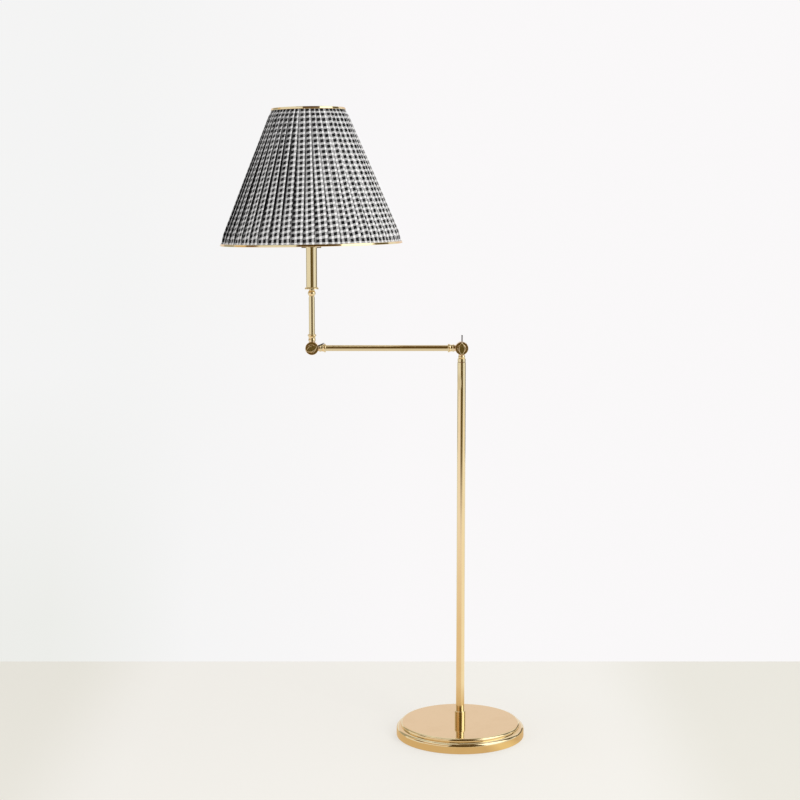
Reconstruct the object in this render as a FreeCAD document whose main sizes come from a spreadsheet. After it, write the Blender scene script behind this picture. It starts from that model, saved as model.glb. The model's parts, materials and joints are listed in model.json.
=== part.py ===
import FreeCAD, Part
import math
import os
import Sketcher

# Articulated floor lamp. Millimetres, +Z up, origin on the pole's axis at the floor.
# The arm points along -X, both knuckle pins lie along Y, and the thumb keys face -Y.

doc = FreeCAD.newDocument("articulated_floor_lamp")
Vector = FreeCAD.Vector

# Driving dimensions, in millimetres, degrees or counts

driving = {
    "axis_height": (894.0, "knuckle pins above the floor"),
    "arm_reach": (336.0, "pin to pin, along the arm"),
    "snug": (0.05, "radial clearance of pressed or screwed pieces"),
    "running": (0.06, "radial clearance of turning pieces"),
    "free_gap": (0.3, "clearance between pieces that pass each other"),
    "thread_radius": (4.85, "threaded tube, outside"),
    "lead_way": (3.25, "threaded tube, bore"),
    "lead_radius": (2.5, "two-core lead"),
    # base
    "base_radius": (146.2, "lower rim of the base"),
    "base_height": (32.2, "top of the base above the floor"),
    "upper_inset": (9.6, "upper step, in from the lower rim"),
    "upper_round": (5.6, "round of the upper step"),
    "ledge_height": (24.0, "ledge between the two steps"),
    "rim_round": (8.2, "round of the lower rim"),
    "foot_round": (1.2, "round under the lower rim"),
    "rim_gap": (0.6, "lower rim above the floor"),
    "shell_wall": (1.5, "spun brass cover"),
    "pad_thickness": (3.0, "felt pad"),
    "pad_setback": (2.8, "felt pad, in from the lower rim"),
    "weight_gap": (0.8, "iron weight to the cover's wall"),
    "weight_plate": (11.5, "plate of the iron weight"),
    "hub_radius": (24.0, "hub of the iron weight"),
    "recess_radius": (18.5, "nut recess under the hub"),
    "recess_depth": (9.5, "nut recess under the hub"),
    "slot_width": (11.5, "lead slot under the weight"),
    "inlet_height": (8.6, "lead inlet above the floor"),
    "inlet_radius": (4.6, "lead inlet in the cover"),
    "inlet_flange": (6.4, "flange of the inlet bushing"),
    "inlet_lip": (1.6, "thickness of that flange"),
    "inlet_length": (12.0, "inlet bushing inside the cover"),
    "washer_radius": (15.0, "washer under the weight"),
    "washer_thickness": (1.8, "washer under the weight"),
    "nut_flats": (20.0, "nut under the weight, across flats"),
    "nut_thickness": (5.0, "nut under the weight"),
    "sleeve_radius": (12.3, "collar round the foot of the pole"),
    "sleeve_height": (24.5, "collar round the foot of the pole"),
    "sleeve_round": (1.2, "upper edge of that collar"),
    # pole and swivel
    "pole_radius": (9.525, "pole tube, outside"),
    "pole_wall": (1.5, "pole tube"),
    "plug_length": (18.0, "threaded insert in the pole's foot"),
    "bush_length": (18.0, "bearing bush in the pole's top"),
    "groove_height": (1.0, "swivel washer, seen as a groove"),
    "groove_radius": (8.2, "swivel washer"),
    "cap_radius": (9.1, "swivel cap"),
    "cap_height": (14.0, "swivel cap with its neck bead"),
    "cap_body": (7.6, "straight part of the swivel cap"),
    "cap_edge": (0.3, "lower edge of the swivel cap"),
    "cap_round": (1.2, "upper edge of the swivel cap"),
    "bead_radius": (7.8, "neck bead of the swivel cap"),
    "locknut_flats": (13.0, "nut below the bush, across flats"),
    "locknut_thickness": (4.0, "nut below the bush"),
    # knuckles
    "knuckle_radius": (14.8, "both halves"),
    "knuckle_depth": (10.7, "one half, along the pin"),
    "knuckle_round": (0.6, "outer edge"),
    "friction_washer": (0.6, "thickness between the halves"),
    "friction_inner": (11.6, "friction washer, inner radius"),
    "friction_outer": (14.3, "friction washer, outer radius"),
    "lead_groove_inner": (5.4, "lead groove round the pin"),
    "lead_groove_outer": (11.3, "lead groove round the pin"),
    "lead_groove_depth": (6.2, "lead groove round the pin"),
    "neck_start": (12.4, "neck root inside the rim"),
    "neck_end": (16.8, "neck face from the pin"),
    "neck_radius": (7.0, "neck"),
    "spigot_length": (9.0, "threaded spigot beyond the neck"),
    "lead_bore_foot": (9.5, "end of the spigot's bore from the pin"),
    "button_radius": (8.0, "raised button on the rear half"),
    "button_height": (1.0, "raised button on the rear half"),
    "blind_floor": (1.0, "metal left at the end of the screw's blind hole"),
    # collars, arm and stem
    "tube_radius": (6.75, "arm and stem tube, outside"),
    "tube_wall": (1.2, "arm and stem tube"),
    "collar_radius": (8.4, "collar, knuckle end"),
    "collar_band": (2.2, "collar, straight band at that end"),
    "collar_waist": (8.0, "radius of the waist's curve"),
    "flare_radius": (9.7, "collar, flared bead"),
    "flare_offset": (2.2, "bead from the spigot's end"),
    "flare_width": (1.4, "bead, straight part"),
    "collar_tip": (1.9, "bead to the collar's end"),
    "collar_tip_radius": (8.1, "collar, tube end"),
    "collar_tip_curve": (2.2, "curve from the bead to the tube end"),
    "stem_height": (114.5, "pin to the top of the stem tube"),
    "stem_plug_length": (12.0, "threaded insert in the stem tube"),
    # ball, dish and candle sleeve
    "ball_radius": (8.75, "ball"),
    "ball_seat": (6.0, "ball's foot, radius"),
    "ball_neck": (5.8, "ball's neck, radius"),
    "ball_height": (21.3, "foot to dish"),
    "ball_foot": (2.3, "foot to the round of the ball"),
    "dish_radius": (15.7, "candle dish"),
    "dish_flat": (12.6, "flat part of the dish"),
    "dish_drop": (3.4, "rim below the flat part"),
    "dish_wall": (1.2, "dish"),
    "candle_radius": (12.3, "candle sleeve, outside"),
    "candle_wall": (1.0, "candle sleeve"),
    "candle_length": (87.2, "candle sleeve"),
    # socket, switch and bulb
    "saddle_thickness": (2.0, "harp plate"),
    "saddle_disc": (13.0, "harp plate, round middle"),
    "saddle_half_length": (22.0, "harp plate, middle to end"),
    "saddle_width": (9.0, "harp plate, strap"),
    "prong_height": (11.0, "harp plate's prongs"),
    "cap_foot": (7.0, "socket cap, foot radius"),
    "socket_radius": (15.3, "socket cap and shell, outside"),
    "socket_sheet": (0.6, "socket cap and shell, wall"),
    "cap_rise": (11.0, "socket cap, curved part"),
    "cap_rim": (4.5, "socket cap, straight part"),
    "shell_height": (36.0, "socket shell"),
    "core_wall": (0.8, "socket body's tube"),
    "core_floor": (12.0, "socket body's solid foot"),
    "screw_sheet": (0.45, "threaded contact"),
    "contact_height": (20.0, "threaded contact"),
    "contact_hole": (7.0, "hole in the threaded contact's floor"),
    "tip_radius": (3.6, "centre contact"),
    "tip_height": (1.0, "centre contact"),
    "bulb_cap_radius": (13.0, "bulb's metal cap"),
    "bulb_cap_height": (23.0, "bulb's metal cap"),
    "bulb_tip_radius": (4.5, "bulb's centre contact"),
    "bulb_cap_wall": (0.6, "bulb's metal cap"),
    "bulb_cap_cone": (4.5, "sloping foot of the metal cap"),
    "glass_overlap": (4.5, "glass inside the metal cap"),
    "bulb_neck_rise": (4.5, "straight glass above the cap"),
    "bulb_radius": (30.0, "glass envelope"),
    "bulb_length": (107.0, "contact tip to the top of the glass"),
    "bulb_neck": (12.3, "glass at the cap"),
    "bulb_shoulder": (26.5, "glass where the neck meets the globe"),
    "bulb_neck_curve": (80.0, "curve of the glass neck"),
    "glass_wall": (0.9, "glass envelope"),
    "switch_rise": (7.0, "switch above the socket shell's foot"),
    "switch_shaft": (1.6, "switch shaft, radius"),
    "switch_depth": (8.0, "shaft inside the socket body"),
    "switch_reach": (28.0, "shaft tip from the socket's axis"),
    "knob_radius": (5.6, "switch knob"),
    "knob_length": (11.0, "switch knob"),
    "knob_face": (1.0, "knob's face beyond the shaft"),
    "knob_edge": (1.0, "bevels of the knob"),
    # harp and shade
    "harp_wire": (1.75, "harp wire, radius"),
    "harp_foot": (20.0, "harp leg from the axis, at the plate"),
    "harp_bow": (38.0, "harp leg from the axis, at its widest"),
    "harp_height": (274.8, "plate to the top of the harp"),
    "harp_lean": (1.0, "degrees that the harp and its shade lean towards -X"),
    "harp_leg": (9.0, "straight foot above the prongs"),
    "harp_bend_height": (31.2, "height of the outward bend"),
    "harp_shoulder": (30.0, "radius of the harp's shoulders"),
    "ferrule_radius": (3.2, "harp ferrules, outside"),
    "ferrule_play": (0.22, "harp ferrules, bore to wire"),
    "ferrule_length": (12.0, "harp ferrules"),
    "ferrule_foot": (3.0, "harp ferrules above the plate"),
    "stud_boss": (6.0, "harp stud, boss radius"),
    "stud_boss_height": (5.0, "harp stud, boss"),
    "stud_radius": (3.0, "harp stud and finial thread"),
    "stud_length": (11.0, "harp stud above its boss"),
    "hub_ring_radius": (9.0, "spider hub"),
    "hub_ring_height": (2.2, "spider hub"),
    "spider_wire": (1.5, "wire rings of the shade, radius"),
    "spider_arm_wire": (1.2, "spider arms, radius"),
    "spider_drop": (23.3, "top ring above the hub"),
    "spider_arms": (3, "number of spider arms"),
    "spider_bend": (14.0, "radius of the arms' bend"),
    "finial_radius": (6.6, "finial"),
    "finial_height": (17.0, "finial"),
    "finial_waist": (4.6, "finial, waist radius"),
    "finial_band": (1.2, "finial, straight foot"),
    "shade_top_radius": (82.3, "shade at its upper band"),
    "shade_bottom_radius": (203.0, "shade at its lower band"),
    "shade_height": (295.1, "between the bands"),
    "band_height": (5.0, "brass bands"),
    "band_wall": (1.0, "brass bands"),
    "band_bevel": (0.7, "bevels of the bands' outer face"),
    "band_lip": (6.2, "brass bands, turned-in lip"),
    "pleat_count": (48, "knife pleats round the shade"),
    "pleat_depth": (3.2, "step of a pleat at the lower band"),
    "pleat_step": (0.07, "share of the pitch that the step takes"),
    "cover_wall": (0.7, "pleated cover behind the step"),
    "liner_wall": (0.8, "liner"),
    # thumb keys
    "screw_radius": (3.0, "key screw"),
    "screw_point": (0.5, "bevel at the screw's end"),
    "key_washer_radius": (9.2, "washer under the key"),
    "key_washer": (1.2, "thickness of that washer"),
    "key_height": (9.0, "key along the pin"),
    "key_half_width": (6.5, "key's pointed oval, across"),
    "key_half_height": (13.5, "key's pointed oval, along"),
    "wing_thickness": (3.0, "wings"),
    "wing_depth": (7.0, "wings, along the pin"),
    "wing_lift": (1.0, "wings above the key's foot"),
    "wing_sweep": (2.4, "wing tips swept forward"),
    "wing_root": (8.0, "where the sweep starts"),
    "wing_tip": (3.8, "radius of the wing tips"),
    "long_wing": (32.5, "long wing from the pin"),
    "short_wing": (16.0, "short wing from the pin"),
    "screw_recess": (1.2, "screw end below the key's face"),
    "key_edge_round": (0.9, "key, front edge"),
    "stem_key_turn": (66.0, "degrees from upright to the second key's long wing"),
}

sheet = doc.addObject("Spreadsheet::Sheet", "Sizes")
for row, (alias, (number, note)) in enumerate(driving.items(), start=1):
    sheet.set("A%d" % row, note)
    sheet.set("B%d" % row, str(number))
    sheet.setAlias("B%d" % row, alias)
doc.recompute()


class Length:
    """A number and the sheet expression that it comes from, combined together."""

    def __init__(self, number, text):
        self.number = float(number)
        self.text = text

    def joined(self, other, sign, result):
        other_text = other.text if isinstance(other, Length) else repr(other)
        return Length(result, "(%s %s %s)" % (self.text, sign, other_text))

    def __add__(self, other):
        return self.joined(other, "+", self.number + plain(other))

    def __sub__(self, other):
        return self.joined(other, "-", self.number - plain(other))

    def __mul__(self, other):
        return self.joined(other, "*", self.number * plain(other))

    def __truediv__(self, other):
        return self.joined(other, "/", self.number / plain(other))

    def __neg__(self):
        return Length(-self.number, "(-%s)" % self.text)


def plain(value):
    return value.number if isinstance(value, Length) else float(value)


def sine(value):
    number = math.sin(math.radians(value.number))
    return Length(number, "sin(%s * 1 deg)" % value.text)


def cosine(value):
    number = math.cos(math.radians(value.number))
    return Length(number, "cos(%s * 1 deg)" % value.text)


def root_of(value):
    return Length(math.sqrt(value.number), "sqrt(%s)" % value.text)


class Sizes:
    """Every alias of the sheet as a Length."""


d = Sizes()
for alias in driving:
    setattr(d, alias, Length(sheet.get(alias), "Sizes." + alias))

# Sketch and feature helpers


def bind(thing, path, value):
    if isinstance(value, Length):
        thing.setExpression(path, value.text)
        return
    setattr(thing, path, value)


def new_body(label):
    body = doc.addObject("PartDesign::Body", label)
    body.Label = label
    return body


def origin_part(body, role):
    return [part for part in body.Origin.OriginFeatures if part.Role == role][0]


def new_sketch(body, role, offset=None):
    sketch = body.newObject("Sketcher::SketchObject", "Sketch")
    sketch.AttachmentSupport = [(origin_part(body, role), "")]
    sketch.MapMode = "FlatFace"
    if offset is not None:
        sketch.setExpression("AttachmentOffset.Base.z", offset.text)
    return sketch


def pin_point(sketch, geometry, end, x, y):
    """Holds one point at its distances from the sketch's origin."""
    for kind, axis, value in (("DistanceX", -2, x), ("DistanceY", -1, y)):
        if plain(value) == 0.0 and not isinstance(value, Length):
            sketch.addConstraint(Sketcher.Constraint("PointOnObject", geometry, end, axis))
            continue
        index = sketch.addConstraint(Sketcher.Constraint(kind, -1, 1, geometry, end, plain(value)))
        if isinstance(value, Length):
            sketch.setExpression("Constraints[%d]" % index, value.text)


def hold_radius(sketch, geometry, radius):
    index = sketch.addConstraint(Sketcher.Constraint("Radius", geometry, radius.number))
    sketch.setExpression("Constraints[%d]" % index, radius.text)


def arc_between(start, finish, radius, turn):
    """The short arc from start to finish; turn is 1 when it bends left, -1 when right."""
    chord = finish - start
    middle = (start + finish) * 0.5
    rise = math.sqrt(max(radius ** 2 - (chord.Length / 2) ** 2, 0.0))
    left = Vector(-chord.y, chord.x, 0).normalize()
    centre = middle + left * (rise * turn)
    first, last = (start, finish) if turn > 0 else (finish, start)
    from_angle = math.atan2(first.y - centre.y, first.x - centre.x)
    to_angle = math.atan2(last.y - centre.y, last.x - centre.x)
    return Part.ArcOfCircle(Part.Circle(centre, Vector(0, 0, 1), radius), from_angle, to_angle)


def outline(sketch, corners, closed=True):
    """Lines and arcs through corners (x, y) or (x, y, radius, turn) of the edge that follows."""
    count = len(corners)
    places = [Vector(plain(corner[0]), plain(corner[1]), 0) for corner in corners]
    edges = []
    for index in range(count if closed else count - 1):
        start = places[index]
        finish = places[(index + 1) % count]
        if len(corners[index]) == 4:
            radius, turn = corners[index][2:]
            shape = arc_between(start, finish, radius.number, turn)
            ends = (1, 2) if turn > 0 else (2, 1)
        else:
            radius = None
            shape = Part.LineSegment(start, finish)
            ends = (1, 2)
        edges.append((sketch.addGeometry(shape, False), ends, radius))
    for index, (edge, ends, radius) in enumerate(edges):
        if index + 1 < len(edges) or closed:
            after, after_ends, skip = edges[(index + 1) % len(edges)]
            joint = Sketcher.Constraint("Coincident", edge, ends[1], after, after_ends[0])
            sketch.addConstraint(joint)
        pin_point(sketch, edge, ends[0], *corners[index][:2])
        if radius is not None:
            hold_radius(sketch, edge, radius)
    if not closed:
        edge, ends, radius = edges[-1]
        pin_point(sketch, edge, ends[1], *corners[-1][:2])


def circle(sketch, radius, x=0, y=0):
    index = sketch.addGeometry(
        Part.Circle(Vector(plain(x), plain(y), 0), Vector(0, 0, 1), radius.number), False
    )
    pin_point(sketch, index, 3, x, y)
    hold_radius(sketch, index, radius)


def pad(body, sketch, length, both_ways=False):
    feature = body.newObject("PartDesign::Pad", "Pad")
    feature.Profile = sketch
    if both_ways:
        feature.SideType = "Symmetric"
    bind(feature, "Length", length)
    return feature


def pocket(body, sketch, length, along_normal=False):
    feature = body.newObject("PartDesign::Pocket", "Pocket")
    feature.Profile = sketch
    feature.Reversed = along_normal
    bind(feature, "Length", length)
    return feature


def revolve(body, sketch, axis):
    feature = body.newObject("PartDesign::Revolution", "Revolution")
    feature.Profile = sketch
    feature.ReferenceAxis = (sketch, [axis])
    feature.Angle = 360
    return feature


def place(thing, x=0, z=0, axis=(0, 0, 1), angle=0):
    """Turns a piece about an axis, then moves it to its place on the lamp."""
    turn = angle.number if isinstance(angle, Length) else angle
    spot = Vector(plain(x), 0, plain(z))
    thing.Placement = FreeCAD.Placement(spot, FreeCAD.Rotation(Vector(*axis), turn))
    if isinstance(x, Length):
        thing.setExpression("Placement.Base.x", x.text)
    if isinstance(z, Length):
        thing.setExpression("Placement.Base.z", z.text)
    if isinstance(angle, Length):
        thing.setExpression("Placement.Rotation.Angle", "%s * 1 deg" % angle.text)
    return thing


def lean(thing):
    """Sets a piece of the harp or the shade on the head, leaning about the prongs' tops."""
    pivot = saddle_top + d.prong_height
    rise = d.harp_foot * sine(d.harp_lean) + d.snug
    x = head_x + pivot * sine(d.harp_lean)
    z = pivot - pivot * cosine(d.harp_lean) + rise
    return place(thing, x=x, z=z, axis=(0, -1, 0), angle=d.harp_lean)


def turned(label, corners, x=0):
    """A lathe-turned piece on an upright axis, from its half outline (radius, height)."""
    body = new_body(label)
    sketch = new_sketch(body, "XZ_Plane")
    outline(sketch, corners)
    revolve(body, sketch, "V_Axis")
    return place(body, x=x)


def turned_on_pin(label, corners):
    """A turned piece whose axis is Y, from its half outline (place along Y, radius)."""
    body = new_body(label)
    sketch = new_sketch(body, "YZ_Plane")
    outline(sketch, corners)
    revolve(body, sketch, "H_Axis")
    return body


def tube(label, outer, inner, foot, length, x=0):
    """A straight tube or ring on an upright axis."""
    body = new_body(label)
    sketch = new_sketch(body, "XY_Plane", foot)
    circle(sketch, outer)
    circle(sketch, inner)
    pad(body, sketch, length)
    return place(body, x=x)


def rod(label, radius, length):
    """A plain round bar of stock, for a lead or a cutting tool."""
    bar = doc.addObject("Part::Cylinder", label)
    bar.Label = label
    bind(bar, "Radius", radius)
    bind(bar, "Height", length)
    return bar


def hex_nut(label, flats, thickness, hole, foot):
    """A hexagon nut on the pole's axis."""
    block = doc.addObject("Part::Prism", label + "_block")
    block.Polygon = 6
    bind(block, "Circumradius", flats / math.sqrt(3))
    bind(block, "Height", thickness)
    bore = rod(label + "_bore", hole, thickness)
    place(block, z=foot)
    place(bore, z=foot)
    nut = doc.addObject("Part::Cut", label)
    nut.Label = label
    nut.Base = block
    nut.Tool = bore
    return nut


def edges_of(feature, wanted):
    """Names of the edges whose middle point passes the test."""
    doc.recompute()
    names = []
    for index, edge in enumerate(feature.Shape.Edges, start=1):
        middle = edge.valueAt((edge.FirstParameter + edge.LastParameter) / 2)
        if wanted(edge, middle):
            names.append("Edge%d" % index)
    return names


def dome(width, rise):
    """Radius of the arc that reaches over a width while it rises, square to one end."""
    return (width * width + rise * rise) / rise / 2


# Levels and places that follow from the driving dimensions

bore_fit = d.thread_radius + d.snug
pole_bore = d.pole_radius - d.pole_wall
tube_bore = d.tube_radius - d.tube_wall
cap_foot_level = d.axis_height - d.neck_end - d.cap_height
pole_top = cap_foot_level - d.groove_height
spigot_end = d.neck_end + d.spigot_length
half_gap = d.friction_washer / 2
outer_face = half_gap + d.knuckle_depth
head_x = -d.arm_reach
stem_top = d.axis_height + d.stem_height
dish_level = stem_top + d.ball_height
candle_foot = dish_level + d.dish_wall
candle_top = candle_foot + d.candle_length
saddle_top = candle_top + d.saddle_thickness
shell_foot = saddle_top + d.cap_rise + d.cap_rim
core_top = shell_foot + d.core_floor
bulb_foot = core_top + d.tip_height
harp_top = saddle_top + d.harp_height
hub_level = harp_top + d.stud_boss_height
shade_top = hub_level + d.spider_drop
shade_bottom = shade_top - d.shade_height
shade_slope = (d.shade_bottom_radius - d.shade_top_radius) / d.shade_height

# Base


def make_base_shell():
    top = d.base_height
    foot = d.rim_gap
    wall = d.shell_wall
    rim_centre = d.base_radius - d.rim_round
    upper_radius = d.base_radius - d.upper_inset
    upper_centre = upper_radius - d.upper_round
    corners = [
        (bore_fit, top),
        (upper_centre, top, d.upper_round, -1),
        (upper_radius, top - d.upper_round),
        (upper_radius, d.ledge_height),
        (rim_centre, d.ledge_height, d.rim_round, -1),
        (d.base_radius, d.ledge_height - d.rim_round),
        (d.base_radius, foot + d.foot_round, d.foot_round, -1),
        (d.base_radius - d.foot_round, foot),
        (d.base_radius - wall, foot),
        (d.base_radius - wall, d.ledge_height - d.rim_round, d.rim_round - wall, 1),
        (rim_centre, d.ledge_height - wall),
        (upper_radius - wall, d.ledge_height - wall),
        (upper_radius - wall, top - d.upper_round, d.upper_round - wall, 1),
        (upper_centre, top - wall),
        (bore_fit, top - wall),
    ]
    body = turned("base_shell", corners)
    hole = new_sketch(body, "XZ_Plane")
    circle(hole, d.inlet_radius + d.snug, 0, d.inlet_height)
    pocket(body, hole, d.base_radius + d.foot_round)


def make_base_weight():
    foot = d.pad_thickness
    hole = d.thread_radius + d.free_gap
    rim = d.base_radius - d.shell_wall - d.weight_gap
    recess_top = foot + d.recess_depth
    corners = [
        (hole, recess_top),
        (d.recess_radius, recess_top),
        (d.recess_radius, foot),
        (rim, foot),
        (rim, foot + d.weight_plate),
        (d.hub_radius, foot + d.weight_plate),
        (d.hub_radius, d.base_height - d.shell_wall),
        (hole, d.base_height - d.shell_wall),
    ]
    body = turned("base_weight", corners)
    slot = new_sketch(body, "XZ_Plane")
    half = d.slot_width / 2
    slot_top = d.inlet_height + d.inlet_radius + d.free_gap
    outline(slot, [(-half, foot), (half, foot), (half, slot_top), (-half, slot_top)])
    pocket(body, slot, d.base_radius)


def make_base_fittings():
    pad_radius = d.base_radius - d.pad_setback
    turned(
        "base_pad",
        [(0, 0), (pad_radius, 0), (pad_radius, d.pad_thickness), (0, d.pad_thickness)],
    )
    washer_foot = d.pad_thickness + d.recess_depth - d.washer_thickness
    tube("base_washer", d.washer_radius, bore_fit, washer_foot, d.washer_thickness)
    nut_foot = washer_foot - d.nut_thickness
    hex_nut("base_nut", d.nut_flats, d.nut_thickness, bore_fit, nut_foot)
    nipple_top = d.base_height + d.plug_length - d.free_gap
    tube("base_nipple", d.thread_radius, d.lead_way, nut_foot, nipple_top - nut_foot)
    pole_fit = d.pole_radius + d.snug
    sleeve_top = d.base_height + d.sleeve_height
    turned(
        "base_sleeve",
        [
            (pole_fit, d.base_height),
            (d.sleeve_radius, d.base_height),
            (d.sleeve_radius, sleeve_top - d.sleeve_round, d.sleeve_round, 1),
            (d.sleeve_radius - d.sleeve_round, sleeve_top),
            (pole_fit, sleeve_top),
        ],
    )


def make_cord_bushing():
    """Flanged bushing in the cover's rear wall; its bore lies along +Y."""
    wall_face = d.base_radius
    inner_end = wall_face - d.inlet_length
    flange_face = wall_face + d.inlet_lip
    edge = d.inlet_lip / 2
    corners = [
        (inner_end, d.lead_way),
        (inner_end, d.inlet_radius),
        (wall_face + d.free_gap, d.inlet_radius),
        (wall_face + d.free_gap, d.inlet_flange),
        (flange_face, d.inlet_flange - edge),
        (flange_face, d.lead_way),
    ]
    place(turned_on_pin("cord_bushing", corners), z=d.inlet_height)


# Pole and its swivel


def make_pole():
    tube("pole_tube", d.pole_radius, pole_bore, d.base_height, pole_top - d.base_height)
    plug_fit = pole_bore - d.snug
    tube("pole_foot_plug", plug_fit, bore_fit, d.base_height, d.plug_length)
    bush_foot = pole_top - d.bush_length
    tube("pole_bushing", plug_fit, d.thread_radius + d.running, bush_foot, d.bush_length)
    tube("swivel_washer", d.groove_radius, d.thread_radius + d.running, pole_top, d.groove_height)
    nut_foot = bush_foot - d.running - d.locknut_thickness
    hex_nut("swivel_nut", d.locknut_flats, d.locknut_thickness, bore_fit, nut_foot)
    spindle_top = cap_foot_level + d.cap_height - d.spigot_length - d.free_gap
    tube("swivel_spindle", d.thread_radius, d.lead_way, nut_foot, spindle_top - nut_foot)
    lead_foot = d.base_height + d.plug_length + d.free_gap
    lead = rod("pole_lead", d.lead_radius, nut_foot - d.free_gap - lead_foot)
    place(lead, x=pole_bore - d.lead_radius - d.free_gap, z=lead_foot)


def make_swivel_cap():
    foot = cap_foot_level
    shoulder = foot + d.cap_body
    top = foot + d.cap_height
    half = (d.cap_height - d.cap_body) / 2
    swell = d.bead_radius - d.neck_radius
    bend = dome(half, swell)
    corners = [
        (bore_fit, foot),
        (d.cap_radius - d.cap_edge, foot),
        (d.cap_radius, foot + d.cap_edge),
        (d.cap_radius, shoulder - d.cap_round, d.cap_round, 1),
        (d.cap_radius - d.cap_round, shoulder),
        (d.neck_radius, shoulder, bend, 1),
        (d.neck_radius, top),
        (bore_fit, top),
    ]
    return turned("swivel_cap", corners)


# Knuckles, each of two halves that turn on one pin


def make_knuckle_half(label, clamped):
    """A half with its neck along +Z, on the -Y side of the middle plane.

    The clamped half is drilled right through for the key's screw; the other half
    takes the screw's end in a blind hole behind a raised button.
    """
    rim = d.knuckle_radius
    hole = d.screw_radius + (d.free_gap if clamped else d.running)
    groove_floor = half_gap + d.lead_groove_depth
    corners = [
        (-half_gap, hole),
        (-half_gap, d.lead_groove_inner),
        (-groove_floor, d.lead_groove_inner),
        (-groove_floor, d.lead_groove_outer),
        (-half_gap, d.lead_groove_outer),
        (-half_gap, rim),
        (d.knuckle_round - outer_face, rim, d.knuckle_round, 1),
        (-outer_face, rim - d.knuckle_round),
    ]
    if clamped:
        corners += [(-outer_face, hole)]
    else:
        button = outer_face + d.button_height
        blind = outer_face - d.blind_floor
        corners += [
            (-outer_face, d.button_radius),
            (-button, d.button_radius - d.button_height),
            (-button, 0),
            (-blind, 0),
            (-blind, hole),
        ]
    body = turned_on_pin(label, corners)
    neck = new_sketch(body, "XY_Plane", d.neck_start)
    circle(neck, d.neck_radius)
    pad(body, neck, d.neck_end - d.neck_start)
    room = new_sketch(body, "XZ_Plane", half_gap)
    circle(room, rim + d.free_gap)
    pocket(body, room, rim)
    spigot = new_sketch(body, "XY_Plane", d.neck_end)
    circle(spigot, d.thread_radius)
    pad(body, spigot, d.spigot_length)
    bore = new_sketch(body, "XY_Plane", spigot_end)
    circle(bore, d.lead_way)
    pocket(body, bore, spigot_end - d.lead_bore_foot)
    return body


def make_friction_washer(label, x):
    corners = [
        (-half_gap, d.friction_inner),
        (half_gap, d.friction_inner),
        (half_gap, d.friction_outer),
        (-half_gap, d.friction_outer),
    ]
    place(turned_on_pin(label, corners), x=x, z=d.axis_height)


def make_knuckles():
    # The rear half on the pole has its neck down, the one on the arm's far end towards the pole.
    place(make_knuckle_half("pole_knuckle", False), z=d.axis_height, axis=(1, 0, 0), angle=180)
    place(make_knuckle_half("arm_knuckle", True), z=d.axis_height, axis=(0, 1, 0), angle=-90)
    elbow = make_knuckle_half("elbow_knuckle", False)
    place(elbow, x=head_x, z=d.axis_height, axis=(1, 0, 1), angle=180)
    place(make_knuckle_half("stem_knuckle", True), x=head_x, z=d.axis_height)
    make_friction_washer("arm_friction_washer", 0)
    make_friction_washer("stem_friction_washer", head_x)


# Thumb keys


def make_key(prefix, x, turn):
    """A thumb key on its screw and washer, with one long and one short wing."""
    seat = outer_face + d.key_washer
    face = seat + d.key_height
    washer_edge = d.key_washer / 2
    washer = turned_on_pin(
        prefix + "_key_washer",
        [
            (-outer_face, d.screw_radius + d.snug),
            (-outer_face, d.key_washer_radius),
            (-outer_face - washer_edge, d.key_washer_radius),
            (-seat, d.key_washer_radius - washer_edge),
            (-seat, d.screw_radius + d.snug),
        ],
    )
    screw_tip = outer_face - d.blind_floor - d.free_gap
    screw = turned_on_pin(
        prefix + "_key_screw",
        [
            (d.screw_recess - face, 0),
            (screw_tip, 0),
            (screw_tip, d.screw_radius - d.screw_point),
            (screw_tip - d.screw_point, d.screw_radius),
            (d.screw_recess - face, d.screw_radius),
        ],
    )
    key = new_body(prefix + "_key")
    oval = new_sketch(key, "XZ_Plane", seat)
    curve = dome(d.key_half_height, d.key_half_width)
    outline(
        oval,
        [(0, -d.key_half_height, curve, 1), (0, d.key_half_height, curve, 1)],
    )
    boss = pad(key, oval, d.key_height)
    front_edges = edges_of(boss, lambda edge, middle: middle.y < d.snug.number - face.number)
    soft = key.newObject("PartDesign::Fillet", "Fillet")
    soft.Base = (boss, front_edges)
    bind(soft, "Radius", d.key_edge_round)
    wings = new_sketch(key, "YZ_Plane")
    inner = -seat - d.wing_lift
    outer = inner - d.wing_depth
    up = d.long_wing - d.wing_tip
    down = d.wing_tip - d.short_wing
    outline(
        wings,
        [
            (inner, d.wing_root),
            (inner - d.wing_sweep, up, d.wing_tip, 1),
            (outer - d.wing_sweep, up),
            (outer, d.wing_root),
            (outer, -d.wing_root),
            (outer - d.wing_sweep / 2, down, d.wing_tip, 1),
            (inner - d.wing_sweep / 2, down),
            (inner, -d.wing_root),
        ],
    )
    pad(key, wings, d.wing_thickness, both_ways=True)
    drill = new_sketch(key, "XZ_Plane")
    circle(drill, d.screw_radius + d.snug)
    pocket(key, drill, face + d.free_gap, along_normal=True)
    for piece in (washer, screw, key):
        place(piece, x=x, z=d.axis_height, axis=(0, 1, 0), angle=turn)


# Collars, arm and stem


def make_collar(label):
    """Turned collar along +Z from the pin: a band, a waist, a flared bead and a tip."""
    band_end = d.neck_end + d.collar_band
    bead = spigot_end + d.flare_offset
    bead_end = bead + d.flare_width
    tip = bead_end + d.collar_tip
    tube_fit = d.tube_radius + d.snug
    corners = [
        (bore_fit, d.neck_end),
        (d.collar_radius, d.neck_end),
        (d.collar_radius, band_end, d.collar_waist, -1),
        (d.flare_radius, bead),
        (d.flare_radius, bead_end, d.collar_tip_curve, 1),
        (d.collar_tip_radius, tip),
        (tube_fit, tip),
        (tube_fit, spigot_end),
        (bore_fit, spigot_end),
    ]
    return turned(label, corners)


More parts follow.
